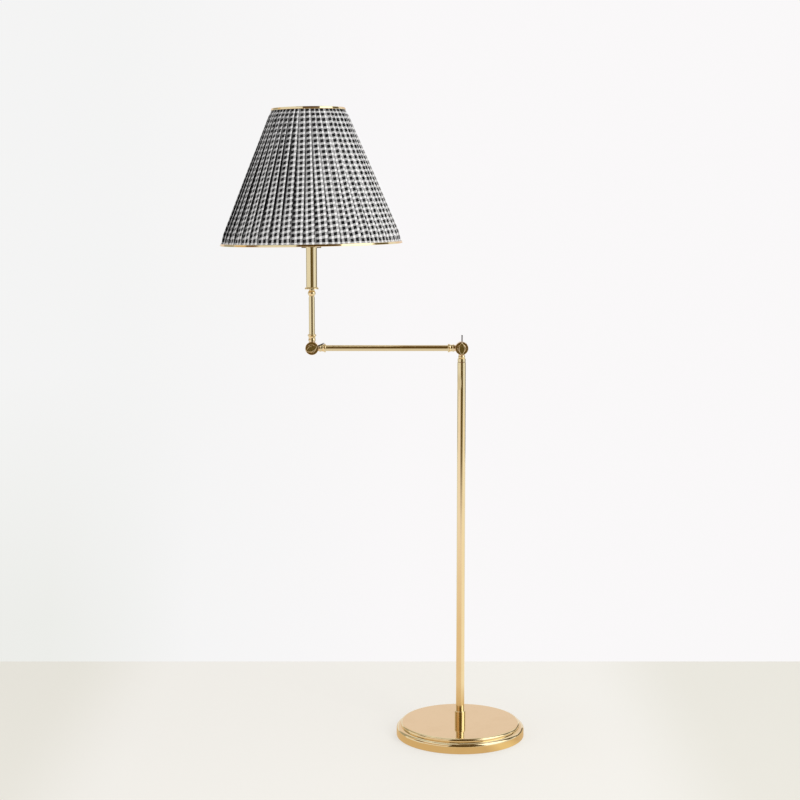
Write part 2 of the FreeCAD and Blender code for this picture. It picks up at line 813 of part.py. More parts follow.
def make_arm():
    place(make_collar("arm_collar_inner"), z=d.axis_height, axis=(0, 1, 0), angle=-90)
    outer_collar = make_collar("arm_collar_outer")
    place(outer_collar, x=head_x, z=d.axis_height, axis=(0, 1, 0), angle=90)
    length = d.arm_reach - spigot_end * 2
    arm = tube("arm_tube", d.tube_radius, tube_bore, spigot_end, length)
    place(arm, z=d.axis_height, axis=(0, 1, 0), angle=-90)
    lead = rod("arm_lead", d.lead_radius, length - d.free_gap * 2)
    lead_drop = tube_bore - d.lead_radius - d.free_gap
    place(
        lead,
        x=-spigot_end - d.free_gap,
        z=d.axis_height - lead_drop,
        axis=(0, 1, 0),
        angle=-90,
    )


def make_stem():
    place(make_collar("stem_collar"), x=head_x, z=d.axis_height)
    foot = d.axis_height + spigot_end
    tube("stem_tube", d.tube_radius, tube_bore, foot, stem_top - foot, x=head_x)
    plug_foot = stem_top - d.stem_plug_length
    tube("stem_plug", tube_bore - d.snug, bore_fit, plug_foot, d.stem_plug_length, x=head_x)
    lead = rod("stem_lead", d.lead_radius, plug_foot - foot - d.free_gap * 2)
    place(lead, x=head_x + tube_bore - d.lead_radius - d.free_gap, z=foot + d.free_gap)
    nipple_foot = plug_foot + d.free_gap
    nipple_top = saddle_top + d.cap_rise - d.snug
    tube(
        "candle_nipple",
        d.thread_radius,
        d.lead_way,
        nipple_foot,
        nipple_top - nipple_foot,
        x=head_x,
    )


def make_candle():
    ball_square = d.ball_radius * d.ball_radius
    round_foot = stem_top + d.ball_foot
    middle = round_foot + root_of(ball_square - d.ball_seat * d.ball_seat)
    round_top = middle + root_of(ball_square - d.ball_neck * d.ball_neck)
    turned(
        "stem_ball",
        [
            (bore_fit, stem_top),
            (d.ball_seat, stem_top),
            (d.ball_seat, round_foot, d.ball_radius, 1),
            (d.ball_radius, middle, d.ball_radius, 1),
            (d.ball_neck, round_top),
            (d.ball_neck, dish_level),
            (bore_fit, dish_level),
        ],
        x=head_x,
    )
    rim = d.dish_radius - d.dish_flat
    bend = dome(rim, d.dish_drop)
    turned(
        "candle_dish",
        [
            (bore_fit, dish_level),
            (d.dish_flat, dish_level, bend, -1),
            (d.dish_radius - d.dish_wall, dish_level - d.dish_drop),
            (d.dish_radius, dish_level - d.dish_drop, bend + d.dish_wall, 1),
            (d.dish_flat, candle_foot),
            (bore_fit, candle_foot),
        ],
        x=head_x,
    )
    candle_bore = d.candle_radius - d.candle_wall
    tube("candle_sleeve", d.candle_radius, candle_bore, candle_foot, d.candle_length, x=head_x)


# Harp plate, socket, switch and bulb


def make_saddle():
    body = new_body("harp_saddle")
    disc = new_sketch(body, "XY_Plane", candle_top)
    circle(disc, d.saddle_disc)
    circle(disc, bore_fit)
    pad(body, disc, d.saddle_thickness)
    half_width = d.saddle_width / 2
    root = d.saddle_disc - half_width
    for side in (1, -1):
        strap = new_sketch(body, "XY_Plane", candle_top)
        near = root * side
        far = d.saddle_half_length * side
        outline(
            strap,
            [(near, -half_width), (far, -half_width), (far, half_width), (near, half_width)],
        )
        pad(body, strap, d.saddle_thickness)
        prong = new_sketch(body, "XY_Plane", saddle_top)
        circle(prong, d.harp_wire, d.harp_foot * side)
        pad(body, prong, d.prong_height)
    place(body, x=head_x)


def make_socket():
    cap_round = d.socket_radius - d.cap_foot
    bend = dome(cap_round, d.cap_rise)
    sheet_wall = d.socket_sheet
    turned(
        "socket_cap",
        [
            (bore_fit, saddle_top),
            (d.cap_foot, saddle_top, bend, 1),
            (d.socket_radius, saddle_top + d.cap_rise),
            (d.socket_radius, shell_foot),
            (d.socket_radius - sheet_wall, shell_foot),
            (d.socket_radius - sheet_wall, saddle_top + d.cap_rise, bend - sheet_wall, -1),
            (d.cap_foot, saddle_top + sheet_wall * 2),
            (bore_fit, saddle_top + sheet_wall * 2),
        ],
        x=head_x,
    )
    shell = tube(
        "socket_shell",
        d.socket_radius,
        d.socket_radius - sheet_wall,
        shell_foot,
        d.shell_height,
        x=head_x,
    )
    switch_level = shell_foot + d.switch_rise
    slot = new_sketch(shell, "XZ_Plane")
    circle(slot, d.switch_shaft + d.free_gap, 0, switch_level)
    pocket(shell, slot, d.socket_radius + d.free_gap, along_normal=True)
    core_outer = d.socket_radius - sheet_wall - d.snug
    core_inner = core_outer - d.core_wall
    core_rim = shell_foot + d.shell_height - d.free_gap
    core = turned(
        "socket_body",
        [
            (0, shell_foot),
            (core_outer, shell_foot),
            (core_outer, core_rim),
            (core_inner, core_rim),
            (core_inner, core_top),
            (0, core_top),
        ],
        x=head_x,
    )
    bearing = new_sketch(core, "XZ_Plane", core_outer - d.switch_depth)
    circle(bearing, d.switch_shaft + d.running, 0, switch_level)
    pocket(core, bearing, d.switch_depth + d.free_gap, along_normal=True)
    contact_outer = core_inner - d.snug
    contact_inner = contact_outer - d.screw_sheet
    contact_top = core_top + d.contact_height
    turned(
        "socket_contact",
        [
            (d.contact_hole, core_top),
            (contact_outer, core_top),
            (contact_outer, contact_top),
            (contact_inner, contact_top),
            (contact_inner, core_top + d.screw_sheet),
            (d.contact_hole, core_top + d.screw_sheet),
        ],
        x=head_x,
    )
    turned(
        "socket_tip",
        [(0, core_top), (d.tip_radius, core_top), (d.tip_radius, bulb_foot), (0, bulb_foot)],
        x=head_x,
    )


def make_switch():
    level = shell_foot + d.switch_rise
    shaft_end = d.socket_radius - d.switch_depth
    shaft = turned_on_pin(
        "switch_shaft",
        [
            (-d.switch_reach, 0),
            (-shaft_end, 0),
            (-shaft_end, d.switch_shaft),
            (-d.switch_reach, d.switch_shaft),
        ],
    )
    back = d.knob_length - d.switch_reach
    front = -d.switch_reach - d.knob_face
    edge = d.knob_edge
    knob = turned_on_pin(
        "switch_knob",
        [
            (back, d.switch_shaft + d.snug),
            (-d.switch_reach, d.switch_shaft + d.snug),
            (-d.switch_reach, 0),
            (front, 0),
            (front, d.knob_radius - edge),
            (front + edge, d.knob_radius),
            (back - edge, d.knob_radius),
            (back, d.knob_radius - edge),
        ],
    )
    for piece in (shaft, knob):
        place(piece, x=head_x, z=level)


def make_bulb():
    tip = bulb_foot
    cap_top = tip + d.bulb_cap_height
    wall = d.bulb_cap_wall
    shoulder = tip + d.bulb_cap_cone
    turned(
        "bulb_cap",
        [
            (0, tip),
            (d.bulb_tip_radius, tip),
            (d.bulb_cap_radius, shoulder),
            (d.bulb_cap_radius, cap_top),
            (d.bulb_cap_radius - wall, cap_top),
            (d.bulb_cap_radius - wall, shoulder + wall),
            (d.bulb_tip_radius, tip + wall * 2),
            (0, tip + wall * 2),
        ],
        x=head_x,
    )
    crown = tip + d.bulb_length
    globe = crown - d.bulb_radius
    square = d.bulb_radius * d.bulb_radius - d.bulb_shoulder * d.bulb_shoulder
    join = globe - root_of(square)
    inner_radius = d.bulb_radius - d.glass_wall
    inner_shoulder = d.bulb_shoulder - d.glass_wall
    inner_square = inner_radius * inner_radius - inner_shoulder * inner_shoulder
    inner_join = globe - root_of(inner_square)
    neck_inner = d.bulb_neck - d.glass_wall
    glass_foot = cap_top - d.glass_overlap
    neck_level = cap_top + d.bulb_neck_rise
    turned(
        "bulb_glass",
        [
            (neck_inner, glass_foot),
            (d.bulb_neck, glass_foot),
            (d.bulb_neck, neck_level, d.bulb_neck_curve, -1),
            (d.bulb_shoulder, join, d.bulb_radius, 1),
            (d.bulb_radius, globe, d.bulb_radius, 1),
            (0, crown),
            (0, crown - d.glass_wall, inner_radius, -1),
            (inner_radius, globe, inner_radius, -1),
            (inner_shoulder, inner_join, d.bulb_neck_curve, 1),
            (neck_inner, neck_level),
        ],
        x=head_x,
    )


# Harp, stud and finial


def make_harp():
    body = new_body("harp")
    foot = saddle_top + d.prong_height
    bend_foot = foot + d.harp_leg
    bend_top = bend_foot + d.harp_bend_height
    shift = d.harp_bow - d.harp_foot
    bend = dome(d.harp_bend_height / 2, shift / 2)
    half_way = (d.harp_foot + d.harp_bow) / 2
    half_bend = bend_foot + d.harp_bend_height / 2
    shoulder_foot = harp_top - d.harp_shoulder
    crown = d.harp_bow - d.harp_shoulder
    wire = new_sketch(body, "XY_Plane", foot)
    circle(wire, d.harp_wire, -d.harp_foot, 0)
    path = new_sketch(body, "XZ_Plane")
    outline(
        path,
        [
            (-d.harp_foot, foot),
            (-d.harp_foot, bend_foot, bend, 1),
            (-half_way, half_bend, bend, -1),
            (-d.harp_bow, bend_top),
            (-d.harp_bow, shoulder_foot, d.harp_shoulder, -1),
            (-crown, harp_top),
            (crown, harp_top, d.harp_shoulder, -1),
            (d.harp_bow, shoulder_foot),
            (d.harp_bow, bend_top, bend, -1),
            (half_way, half_bend, bend, 1),
            (d.harp_foot, bend_foot),
            (d.harp_foot, foot),
        ],
        closed=False,
    )
    pipe = body.newObject("PartDesign::AdditivePipe", "Pipe")
    pipe.Profile = wire
    pipe.Spine = (path, [])
    lean(body)


def make_ferrules():
    """Two short sleeves that lock the harp's feet on the plate's prongs."""
    body = new_body("harp_ferrules")
    sketch = new_sketch(body, "XY_Plane", saddle_top + d.ferrule_foot)
    for side in (1, -1):
        circle(sketch, d.ferrule_radius, d.harp_foot * side)
        circle(sketch, d.harp_wire + d.ferrule_play, d.harp_foot * side)
    pad(body, sketch, d.ferrule_length)
    lean(body)


def make_stud():
    boss = rod("harp_stud_boss", d.stud_boss, d.stud_boss_height)
    place(boss, z=harp_top)
    thread = rod("harp_stud_thread", d.stud_radius, d.stud_length)
    place(thread, z=hub_level)
    both = doc.addObject("Part::Fuse", "harp_stud_blank")
    both.Base = boss
    both.Tool = thread
    groove = rod("harp_stud_groove", d.harp_wire + d.snug, d.stud_boss * 4)
    place(groove, x=d.stud_boss * 2, z=harp_top, axis=(0, 1, 0), angle=-90)
    stud = doc.addObject("Part::Cut", "harp_stud")
    stud.Label = "harp_stud"
    stud.Base = both
    stud.Tool = groove
    lean(stud)


def make_finial():
    foot = hub_level + d.hub_ring_height
    top = foot + d.finial_height
    hole = d.stud_radius + d.snug
    hole_top = hub_level + d.stud_length + d.free_gap
    third = d.finial_height / 3
    finial = turned(
        "finial",
        [
            (hole, foot),
            (d.finial_radius, foot),
            (d.finial_radius, foot + d.finial_band),
            (d.finial_waist, foot + third, third, -1),
            (d.finial_radius, top - third, dome(d.finial_radius, third), 1),
            (0, top),
            (0, hole_top),
            (hole, hole_top),
        ],
    )
    lean(finial)


# Shade


def wall_at(level, inset):
    """Radius of the shade's cone at a level, a little way in from its outer face."""
    return d.shade_bottom_radius - shade_slope * (level - shade_bottom) - inset


cover_inset = d.band_wall + d.free_gap
liner_inset = cover_inset + d.pleat_depth + d.cover_wall + d.free_gap
wire_inset = liner_inset + d.liner_wall + d.free_gap + d.spider_wire
edge_gap = d.band_wall + d.free_gap


def make_band(label, level, side):
    """Rolled brass band; side is 1 for the upper lip and -1 for the lower one."""
    half = d.band_height / 2
    open_edge = level - half * side
    closed_edge = level + half * side
    lower_bevel = open_edge + d.band_bevel * side
    upper_bevel = closed_edge - d.band_bevel * side
    lip_under = closed_edge - d.band_wall * side
    lip_end = wall_at(closed_edge, d.band_lip)
    band = turned(
        label,
        [
            (wall_at(open_edge, d.band_bevel), open_edge),
            (wall_at(lower_bevel, 0), lower_bevel),
            (wall_at(upper_bevel, 0), upper_bevel),
            (wall_at(closed_edge, d.band_bevel), closed_edge),
            (lip_end, closed_edge),
            (lip_end, lip_under),
            (wall_at(lip_under, d.band_wall), lip_under),
            (wall_at(open_edge, d.band_wall), open_edge),
        ],
    )
    lean(band)


def pleated_wire(crest, valley, level, count, step):
    """One closed saw-tooth outline: each pleat slopes in, then steps out again."""
    points = []
    for pleat in range(count):
        for share, radius in ((0.0, crest), (1.0 - step, valley)):
            angle = 2 * math.pi * (pleat + share) / count
            points.append(Vector(radius * math.cos(angle), radius * math.sin(angle), level))
    return Part.makePolygon(points + points[:1])


def make_cover():
    """Knife-pleated cloth cone between the two bands, outside and inside pleated alike."""
    foot = shade_bottom - d.band_height / 2 + edge_gap
    top = shade_top + d.band_height / 2 - edge_gap
    count = int(d.pleat_count.number)
    step = d.pleat_step.number
    depth_share = d.pleat_depth.number / wall_at(foot, cover_inset).number
    sides = []
    for inset in (cover_inset, cover_inset + d.cover_wall):
        wires = []
        for level in (foot, top):
            crest = wall_at(level, inset).number
            wires.append(
                pleated_wire(crest, crest * (1 - depth_share), level.number, count, step)
            )
        sides.append(Part.makeLoft(wires, True, True))
    cover = doc.addObject("Part::Feature", "shade_cover")
    cover.Label = "shade_cover"
    cover.Shape = sides[0].cut(sides[1])
    lean(cover)


def make_liner():
    foot = shade_bottom - d.band_height / 2 + edge_gap
    top = shade_top + d.band_height / 2 - edge_gap
    inner = liner_inset + d.liner_wall
    liner = turned(
        "shade_liner",
        [
            (wall_at(foot, inner), foot),
            (wall_at(foot, liner_inset), foot),
            (wall_at(top, liner_inset), top),
            (wall_at(top, inner), top),
        ],
    )
    lean(liner)


def make_spider():
    """Upper wire ring, three arms bent down from it, and the hub that takes the stud."""
    body = new_body("shade_spider")
    hub = new_sketch(body, "XY_Plane", hub_level)
    circle(hub, d.hub_ring_radius)
    circle(hub, d.stud_radius + d.free_gap)
    pad(body, hub, d.hub_ring_height)
    ring_radius = wall_at(shade_top, wire_inset)
    ring = new_sketch(body, "XZ_Plane")
    circle(ring, d.spider_wire, ring_radius, shade_top)
    revolve(body, ring, "V_Axis")
    arm_level = hub_level + d.hub_ring_height / 2
    arm_root = d.hub_ring_radius - d.spider_wire
    profile = new_sketch(body, "YZ_Plane", arm_root)
    circle(profile, d.spider_arm_wire, 0, arm_level)
    path = new_sketch(body, "XZ_Plane")
    outline(
        path,
        [
            (arm_root, arm_level),
            (ring_radius - d.spider_bend, arm_level, d.spider_bend, 1),
            (ring_radius, arm_level + d.spider_bend),
            (ring_radius, shade_top),
        ],
        closed=False,
    )
    arm = body.newObject("PartDesign::AdditivePipe", "Arm")
    arm.Profile = profile
    arm.Spine = (path, [])
    doc.recompute()
    pattern = body.newObject("PartDesign::PolarPattern", "Arms")
    pattern.Originals = [arm]
    pattern.Axis = (origin_part(body, "Z_Axis"), [""])
    pattern.Angle = 360
    pattern.setExpression("Occurrences", d.spider_arms.text)
    body.Tip = pattern
    lean(body)


def make_bottom_wire():
    body = new_body("shade_bottom_wire")
    ring = new_sketch(body, "XZ_Plane")
    circle(ring, d.spider_wire, wall_at(shade_bottom, wire_inset), shade_bottom)
    revolve(body, ring, "V_Axis")
    lean(body)


# The whole lamp

make_base_shell()
make_base_weight()
make_base_fittings()
make_cord_bushing()
make_pole()
make_swivel_cap()
make_knuckles()
make_key("arm", 0, 0)
make_key("stem", head_x, d.stem_key_turn)
make_arm()
make_stem()
make_candle()
make_saddle()
make_socket()
make_switch()
make_bulb()
make_harp()
make_ferrules()
make_stud()
make_finial()
make_band("shade_trim_top", shade_top, 1)
make_band("shade_trim_bottom", shade_bottom, -1)
make_cover()
make_liner()
make_spider()
make_bottom_wire()
doc.recompute()

# Checks, then one file for each piece

pieces = [
    thing
    for thing in doc.Objects
    if thing.isDerivedFrom("Part::Feature")
    and not [user for user in thing.InList if user.isDerivedFrom("Part::Feature")]
]
problems = []
for thing in doc.Objects:
    if "Invalid" in thing.State or "Error" in thing.State:
        problems.append("%s: %s" % (thing.Label, ", ".join(thing.State)))
for piece in pieces:
    if piece.Shape.isNull() or not piece.Shape.isValid():
        problems.append("%s: no valid shape" % piece.Label)
if problems:
    raise RuntimeError("; ".join(problems))

os.makedirs("parts", exist_ok=True)
for piece in pieces:
    shape = piece.Shape
    shape.exportStep("parts/%s.step" % piece.Label)
    print("%-22s %d solid(s) %10.1f mm3" % (piece.Label, len(shape.Solids), shape.Volume))
print("%d pieces" % len(pieces))
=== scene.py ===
import json
import math

import bmesh
import bpy
import numpy as np
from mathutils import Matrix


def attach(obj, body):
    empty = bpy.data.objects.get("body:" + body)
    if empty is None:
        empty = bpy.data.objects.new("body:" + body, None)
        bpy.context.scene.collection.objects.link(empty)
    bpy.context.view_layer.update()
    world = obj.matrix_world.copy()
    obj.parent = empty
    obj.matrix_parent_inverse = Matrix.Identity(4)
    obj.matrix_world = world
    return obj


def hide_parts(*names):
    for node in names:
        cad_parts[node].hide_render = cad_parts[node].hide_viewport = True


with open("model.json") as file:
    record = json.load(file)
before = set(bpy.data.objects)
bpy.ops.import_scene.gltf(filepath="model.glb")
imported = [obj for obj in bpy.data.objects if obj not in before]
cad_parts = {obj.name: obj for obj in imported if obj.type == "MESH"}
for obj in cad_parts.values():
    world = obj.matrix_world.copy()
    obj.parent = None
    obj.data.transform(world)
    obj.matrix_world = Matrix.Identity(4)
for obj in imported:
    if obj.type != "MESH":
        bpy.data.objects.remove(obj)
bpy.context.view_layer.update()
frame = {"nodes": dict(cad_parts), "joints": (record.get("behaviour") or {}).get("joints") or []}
nodes = frame["nodes"]
pins = {joint["name"]: joint["pos_m"] for joint in frame["joints"]}
headX = pins["stem_tilt"][0]
scene = bpy.context.scene
print("frame loaded,", len(nodes), "nodes")

# camera

cameraValues = {
    "place": (-0.1385, -3.8103, 1.2294),
    "tilt": 83.223,  # degrees from straight down
    "lens": 76.6,  # millimetres, as the sensor
    "sensor": 36.0,
    "clip": (0.05, 60),
}
cameraData = bpy.data.cameras.new("camera")
cameraData.lens = cameraValues["lens"]
cameraData.sensor_width = cameraValues["sensor"]
cameraData.clip_start, cameraData.clip_end = cameraValues["clip"]
camera = bpy.data.objects.new("camera", cameraData)
camera.location = cameraValues["place"]
camera.rotation_euler = (math.radians(cameraValues["tilt"]), 0, 0)
scene.collection.objects.link(camera)
scene.camera = camera
scene.view_settings.view_transform = "Standard"
print("camera placed")

# helpers for meshes


def addObject(name, mesh):
    made = bpy.data.objects.new(name, mesh)
    scene.collection.objects.link(made)
    return made


def gridMesh(name, points, closed=False, cloth=None):
    # points is rows x columns x 3, and every four neighbours make a face; a closed grid joins its
    # last column to its first. cloth holds (u, v) for the same grid, with one more column if closed.
    rows, columns = points.shape[:2]
    along = np.arange(columns if closed else columns - 1)
    row, column = np.meshgrid(np.arange(rows - 1), along, indexing="ij")
    nextColumn = (column + 1) % columns
    quads = np.stack(
        [
            row * columns + column,
            row * columns + nextColumn,
            (row + 1) * columns + nextColumn,
            (row + 1) * columns + column,
        ],
        axis=-1,
    ).reshape(-1, 4)
    mesh = bpy.data.meshes.new(name)
    mesh.from_pydata(points.reshape(-1, 3).tolist(), [], quads.tolist())
    if cloth is not None:
        corners = np.stack(
            [
                cloth[row, column],
                cloth[row, column + 1],
                cloth[row + 1, column + 1],
                cloth[row + 1, column],
            ],
            axis=-2,
        )
        layer = mesh.uv_layers.new(name="cloth")
        layer.data.foreach_set("uv", corners.reshape(-1).astype(np.float32))
    mesh.polygons.foreach_set("use_smooth", np.ones(len(quads), bool))
    mesh.update()
    return mesh


def cleaned(mesh, sharp=180.0):
    # doubles merged, poles closed, normals outward; edges that turn by more degrees stay crisp
    shape = bmesh.new()
    shape.from_mesh(mesh)
    bmesh.ops.remove_doubles(shape, verts=shape.verts, dist=1e-7)
    bmesh.ops.dissolve_degenerate(shape, edges=shape.edges, dist=1e-8)
    bmesh.ops.recalc_face_normals(shape, faces=shape.faces)
    for edge in shape.edges:
        if len(edge.link_faces) == 2 and edge.calc_face_angle() > math.radians(sharp):
            edge.smooth = False
    shape.to_mesh(mesh)
    shape.free()
    return mesh


def eased(value, low, high):
    # 0 up to low, 1 from high on, and a smooth step between them
    step = np.clip((value - low) / (high - low), 0, 1)
    return step * step * (3 - 2 * step)


# helpers for materials


def feed(tree, socket, value):
    if isinstance(value, bpy.types.NodeSocket):
        tree.links.new(value, socket)
    else:
        socket.default_value = value


def addNode(tree, kind, *values, **settings):
    node = tree.nodes.new("ShaderNode" + kind)
    for name, setting in settings.items():
        setattr(node, name, setting)
    for socket, value in zip(node.inputs, values):
        if value is not None:
            feed(tree, socket, value)
    return node.outputs[0]


def maths(tree, operation, first, second=None, third=None):
    return addNode(tree, "Math", first, second, third, operation=operation)


def blendColours(tree, factor, first, second):
    node = tree.nodes.new("ShaderNodeMix")
    node.data_type = "RGBA"
    feed(tree, node.inputs[0], factor)
    feed(tree, node.inputs[6], first)
    feed(tree, node.inputs[7], second)
    return node.outputs[2]


def ranged(tree, value, low, high, toLow, toHigh):
    return addNode(tree, "MapRange", value, low, high, toLow, toHigh)


def noise(tree, place, size, detail=3.0, rough=0.55):
    # size is the grain in metres
    return addNode(tree, "TexNoise", place, None, 1 / size, detail, rough)


def stretched(tree, place, stretch):
    return addNode(tree, "Mapping", place, None, None, stretch)


def objectPlace(tree):
    return tree.nodes.new("ShaderNodeTexCoord").outputs["Object"]


def bumped(tree, height, distance):
    node = tree.nodes.new("ShaderNodeBump")
    node.inputs["Distance"].default_value = distance
    feed(tree, node.inputs["Height"], height)
    return node.outputs["Normal"]


def measured(tree, operation, *vectors):
    # the number that a vector operation gives, such as a length
    node = tree.nodes.new("ShaderNodeVectorMath")
    node.operation = operation
    for socket, vector in zip(node.inputs, vectors):
        feed(tree, socket, vector)
    return node.outputs["Value"]


def separated(tree, vector):
    node = tree.nodes.new("ShaderNodeSeparateXYZ")
    feed(tree, node.inputs[0], vector)
    return node.outputs[0], node.outputs[1], node.outputs[2]


def awayFrom(tree, centre, directions):
    # how far a place lies from the centre, counting only the directions given as 1
    centred = addNode(tree, "Mapping", objectPlace(tree), tuple(-part for part in centre))
    flat = addNode(tree, "VectorMath", centred, directions, operation="MULTIPLY")
    return measured(tree, "LENGTH", flat)


def newMaterial(name, **fixed):
    material = bpy.data.materials.new(name)
    material.use_nodes = True
    tree = material.node_tree
    tree.nodes.clear()
    shader = tree.nodes.new("ShaderNodeBsdfPrincipled")
    output = tree.nodes.new("ShaderNodeOutputMaterial")
    tree.links.new(shader.outputs[0], output.inputs[0])
    for socket, value in fixed.items():
        shader.inputs[socket.replace("_", " ")].default_value = value
    return material, tree, shader


def colour(red, green, blue):
    return (red, green, blue, 1.0)


def dress(material, *names):
    for name in names:
        mesh = nodes[name].data
        for slot in range(max(1, len(mesh.materials))):
            if slot < len(mesh.materials):
                mesh.materials[slot] = material
            else:
                mesh.materials.append(material)


# brass

brassLook = {
    "tone": colour(0.83, 0.70, 0.435),
    "facedTone": colour(0.90, 0.695, 0.46),  # the turned faces of the knuckles
    "pale": colour(0.90, 0.79, 0.56),
    "deep": colour(0.64, 0.46, 0.21),
    "gloss": (0.07, 0.125),  # roughness, least and most
    "facedGloss": (0.09, 0.15),
    "lines": (0.012, 4.0, 0.65),  # noise of the polish lines: size in metres, detail, roughness
    "rings": (0.0007, 4.0, 0.7),  # the same for the rings of spun pieces, clouds and spots
    "clouds": (0.045, 3.0, 0.55),
    "spots": (0.004, 5.0, 0.6),
    "lineDepth": 0.0000012,
    "patina": (0.50, 0.78, 0.0, 0.14),  # from where to where in the clouds, least and most of it
    "faded": (0.55, 0.8, 0.0, 0.25),  # the same in the spots, for paler brass
    "edge": 0.0007,  # how far a worn edge reaches, metres
    "worn": (0.985, 0.90, 0.0, 0.45),  # by how far the rounded and the true normal agree
    "wornSpots": (0.35, 0.65, 0.35, 1.0),
    "handled": colour(0.28, 0.28, 0.29),  # the ends of the keys' wings, darker and grey
    "handledFrom": (0.011, 0.019),  # distances from the pin between which that comes in
}
crossways = (1.0, 1.0, 0.0)  # directions counted in a distance from an upright axis
faceways = (1.0, 0.0, 1.0)  # the same for a pin that lies along Y


def brass(name, lines, grain=1.0, spun=None, gloss=brassLook["gloss"], tone=brassLook["tone"]):
    # polish lines are noise drawn out along the way the piece was rubbed; spun pieces use the
    # distance from the axis instead, so that the lines run round it
    look = brassLook
    material, tree, shader = newMaterial(name, Metallic=1.0)
    place = objectPlace(tree)
    if spun is None:
        along = stretched(tree, place, lines)
        size, *rest = look["lines"]
    else:
        along = addNode(tree, "CombineXYZ", awayFrom(tree, *spun), 0.0, 0.0)
        size, *rest = look["rings"]
    rubbed = noise(tree, along, size * grain, *rest)
    cloudy = noise(tree, place, *look["clouds"])
    spots = noise(tree, place, *look["spots"])
    flatness = measured(
        tree, "DOT_PRODUCT", addNode(tree, "Bevel", look["edge"], samples=4),
        tree.nodes.new("ShaderNodeNewGeometry").outputs["Normal"])
    edge = ranged(tree, flatness, *look["worn"])
    worn = maths(tree, "MULTIPLY", edge, ranged(tree, spots, *look["wornSpots"]))
    body = blendColours(tree, ranged(tree, cloudy, *look["patina"]), tone, look["deep"])
    faded = blendColours(tree, ranged(tree, spots, *look["faded"]), body, look["pale"])
    feed(tree, shader.inputs["Base Color"], blendColours(tree, worn, faded, look["pale"]))
    uneven = maths(tree, "MULTIPLY_ADD", cloudy, 0.5, maths(tree, "MULTIPLY", rubbed, 0.5))
    feed(tree, shader.inputs["Roughness"], ranged(tree, uneven, 0.3, 0.7, *gloss))
    feed(tree, shader.inputs["Normal"], bumped(tree, rubbed, look["lineDepth"]))
    return material


def greyTippedKey(name, pin):
    # cast brass that turns grey with the distance from the key's pin
    material = brass(name, (1.0, 1.0, 1.0), 0.4, None, brassLook["facedGloss"])
    tree = material.node_tree
    towardTip = ranged(tree, awayFrom(tree, pin, faceways), *brassLook["handledFrom"], 0.0, 1.0)
    base = next(node for node in tree.nodes if node.type == "BSDF_PRINCIPLED").inputs["Base Color"]
    bright = base.links[0].from_socket
    feed(tree, base, blendColours(tree, towardTip, bright, brassLook["handled"]))
    return material


# how the noise of the polish lines is stretched along X, Y and Z
upright = (1.0, 1.0, 0.04)
lying = (0.04, 1.0, 1.0)
ringed = (0.06, 0.06, 4.0)
ringedLying = (4.0, 0.06, 0.06)
wire = (1.0, 1.0, 0.1)
dress(brass("drawnBrassUpright", upright), "pole_tube", "stem_tube", "candle_sleeve")
dress(brass("drawnBrassLying", lying), "arm_tube")
dress(
    brass("turnedBrass", ringed),
    "base_sleeve", "swivel_cap", "stem_collar", "stem_ball", "candle_dish", "finial",
    "socket_cap", "socket_shell", "harp_ferrules",
)
dress(brass("turnedBrassLying", ringedLying), "arm_collar_inner", "arm_collar_outer")
dress(brass("spunBrass", None, 1.6, ((0.0, 0.0, 0.0), crossways)), "base_shell")
for side, joint, facedNames, castNames in (
    (
        "", "arm_tilt", ("pole_knuckle", "arm_knuckle", "arm_key_washer"),
        ("arm_key", "arm_key_screw"),
    ),
    (
        "Head", "stem_tilt", ("elbow_knuckle", "stem_knuckle", "stem_key_washer"),
        ("stem_key", "stem_key_screw"),
    ),
):
    faced = brass(
        "facedBrass" + side, None, 1.0, (pins[joint], faceways), brassLook["facedGloss"],
        brassLook["facedTone"])
    dress(faced, *facedNames)
    dress(greyTippedKey("castBrass" + side, pins[joint]), *castNames)
dress(brass("pressedBrass", wire, 0.6), "harp_saddle")
dress(brass("rolledBrass", ringed, 0.8), "shade_trim_top", "shade_trim_bottom")
dress(
    brass("brassWire", wire, 0.5),
    "harp", "harp_stud", "socket_contact", "socket_tip", "pole_bushing",
)
print("brass done")

# other hard materials

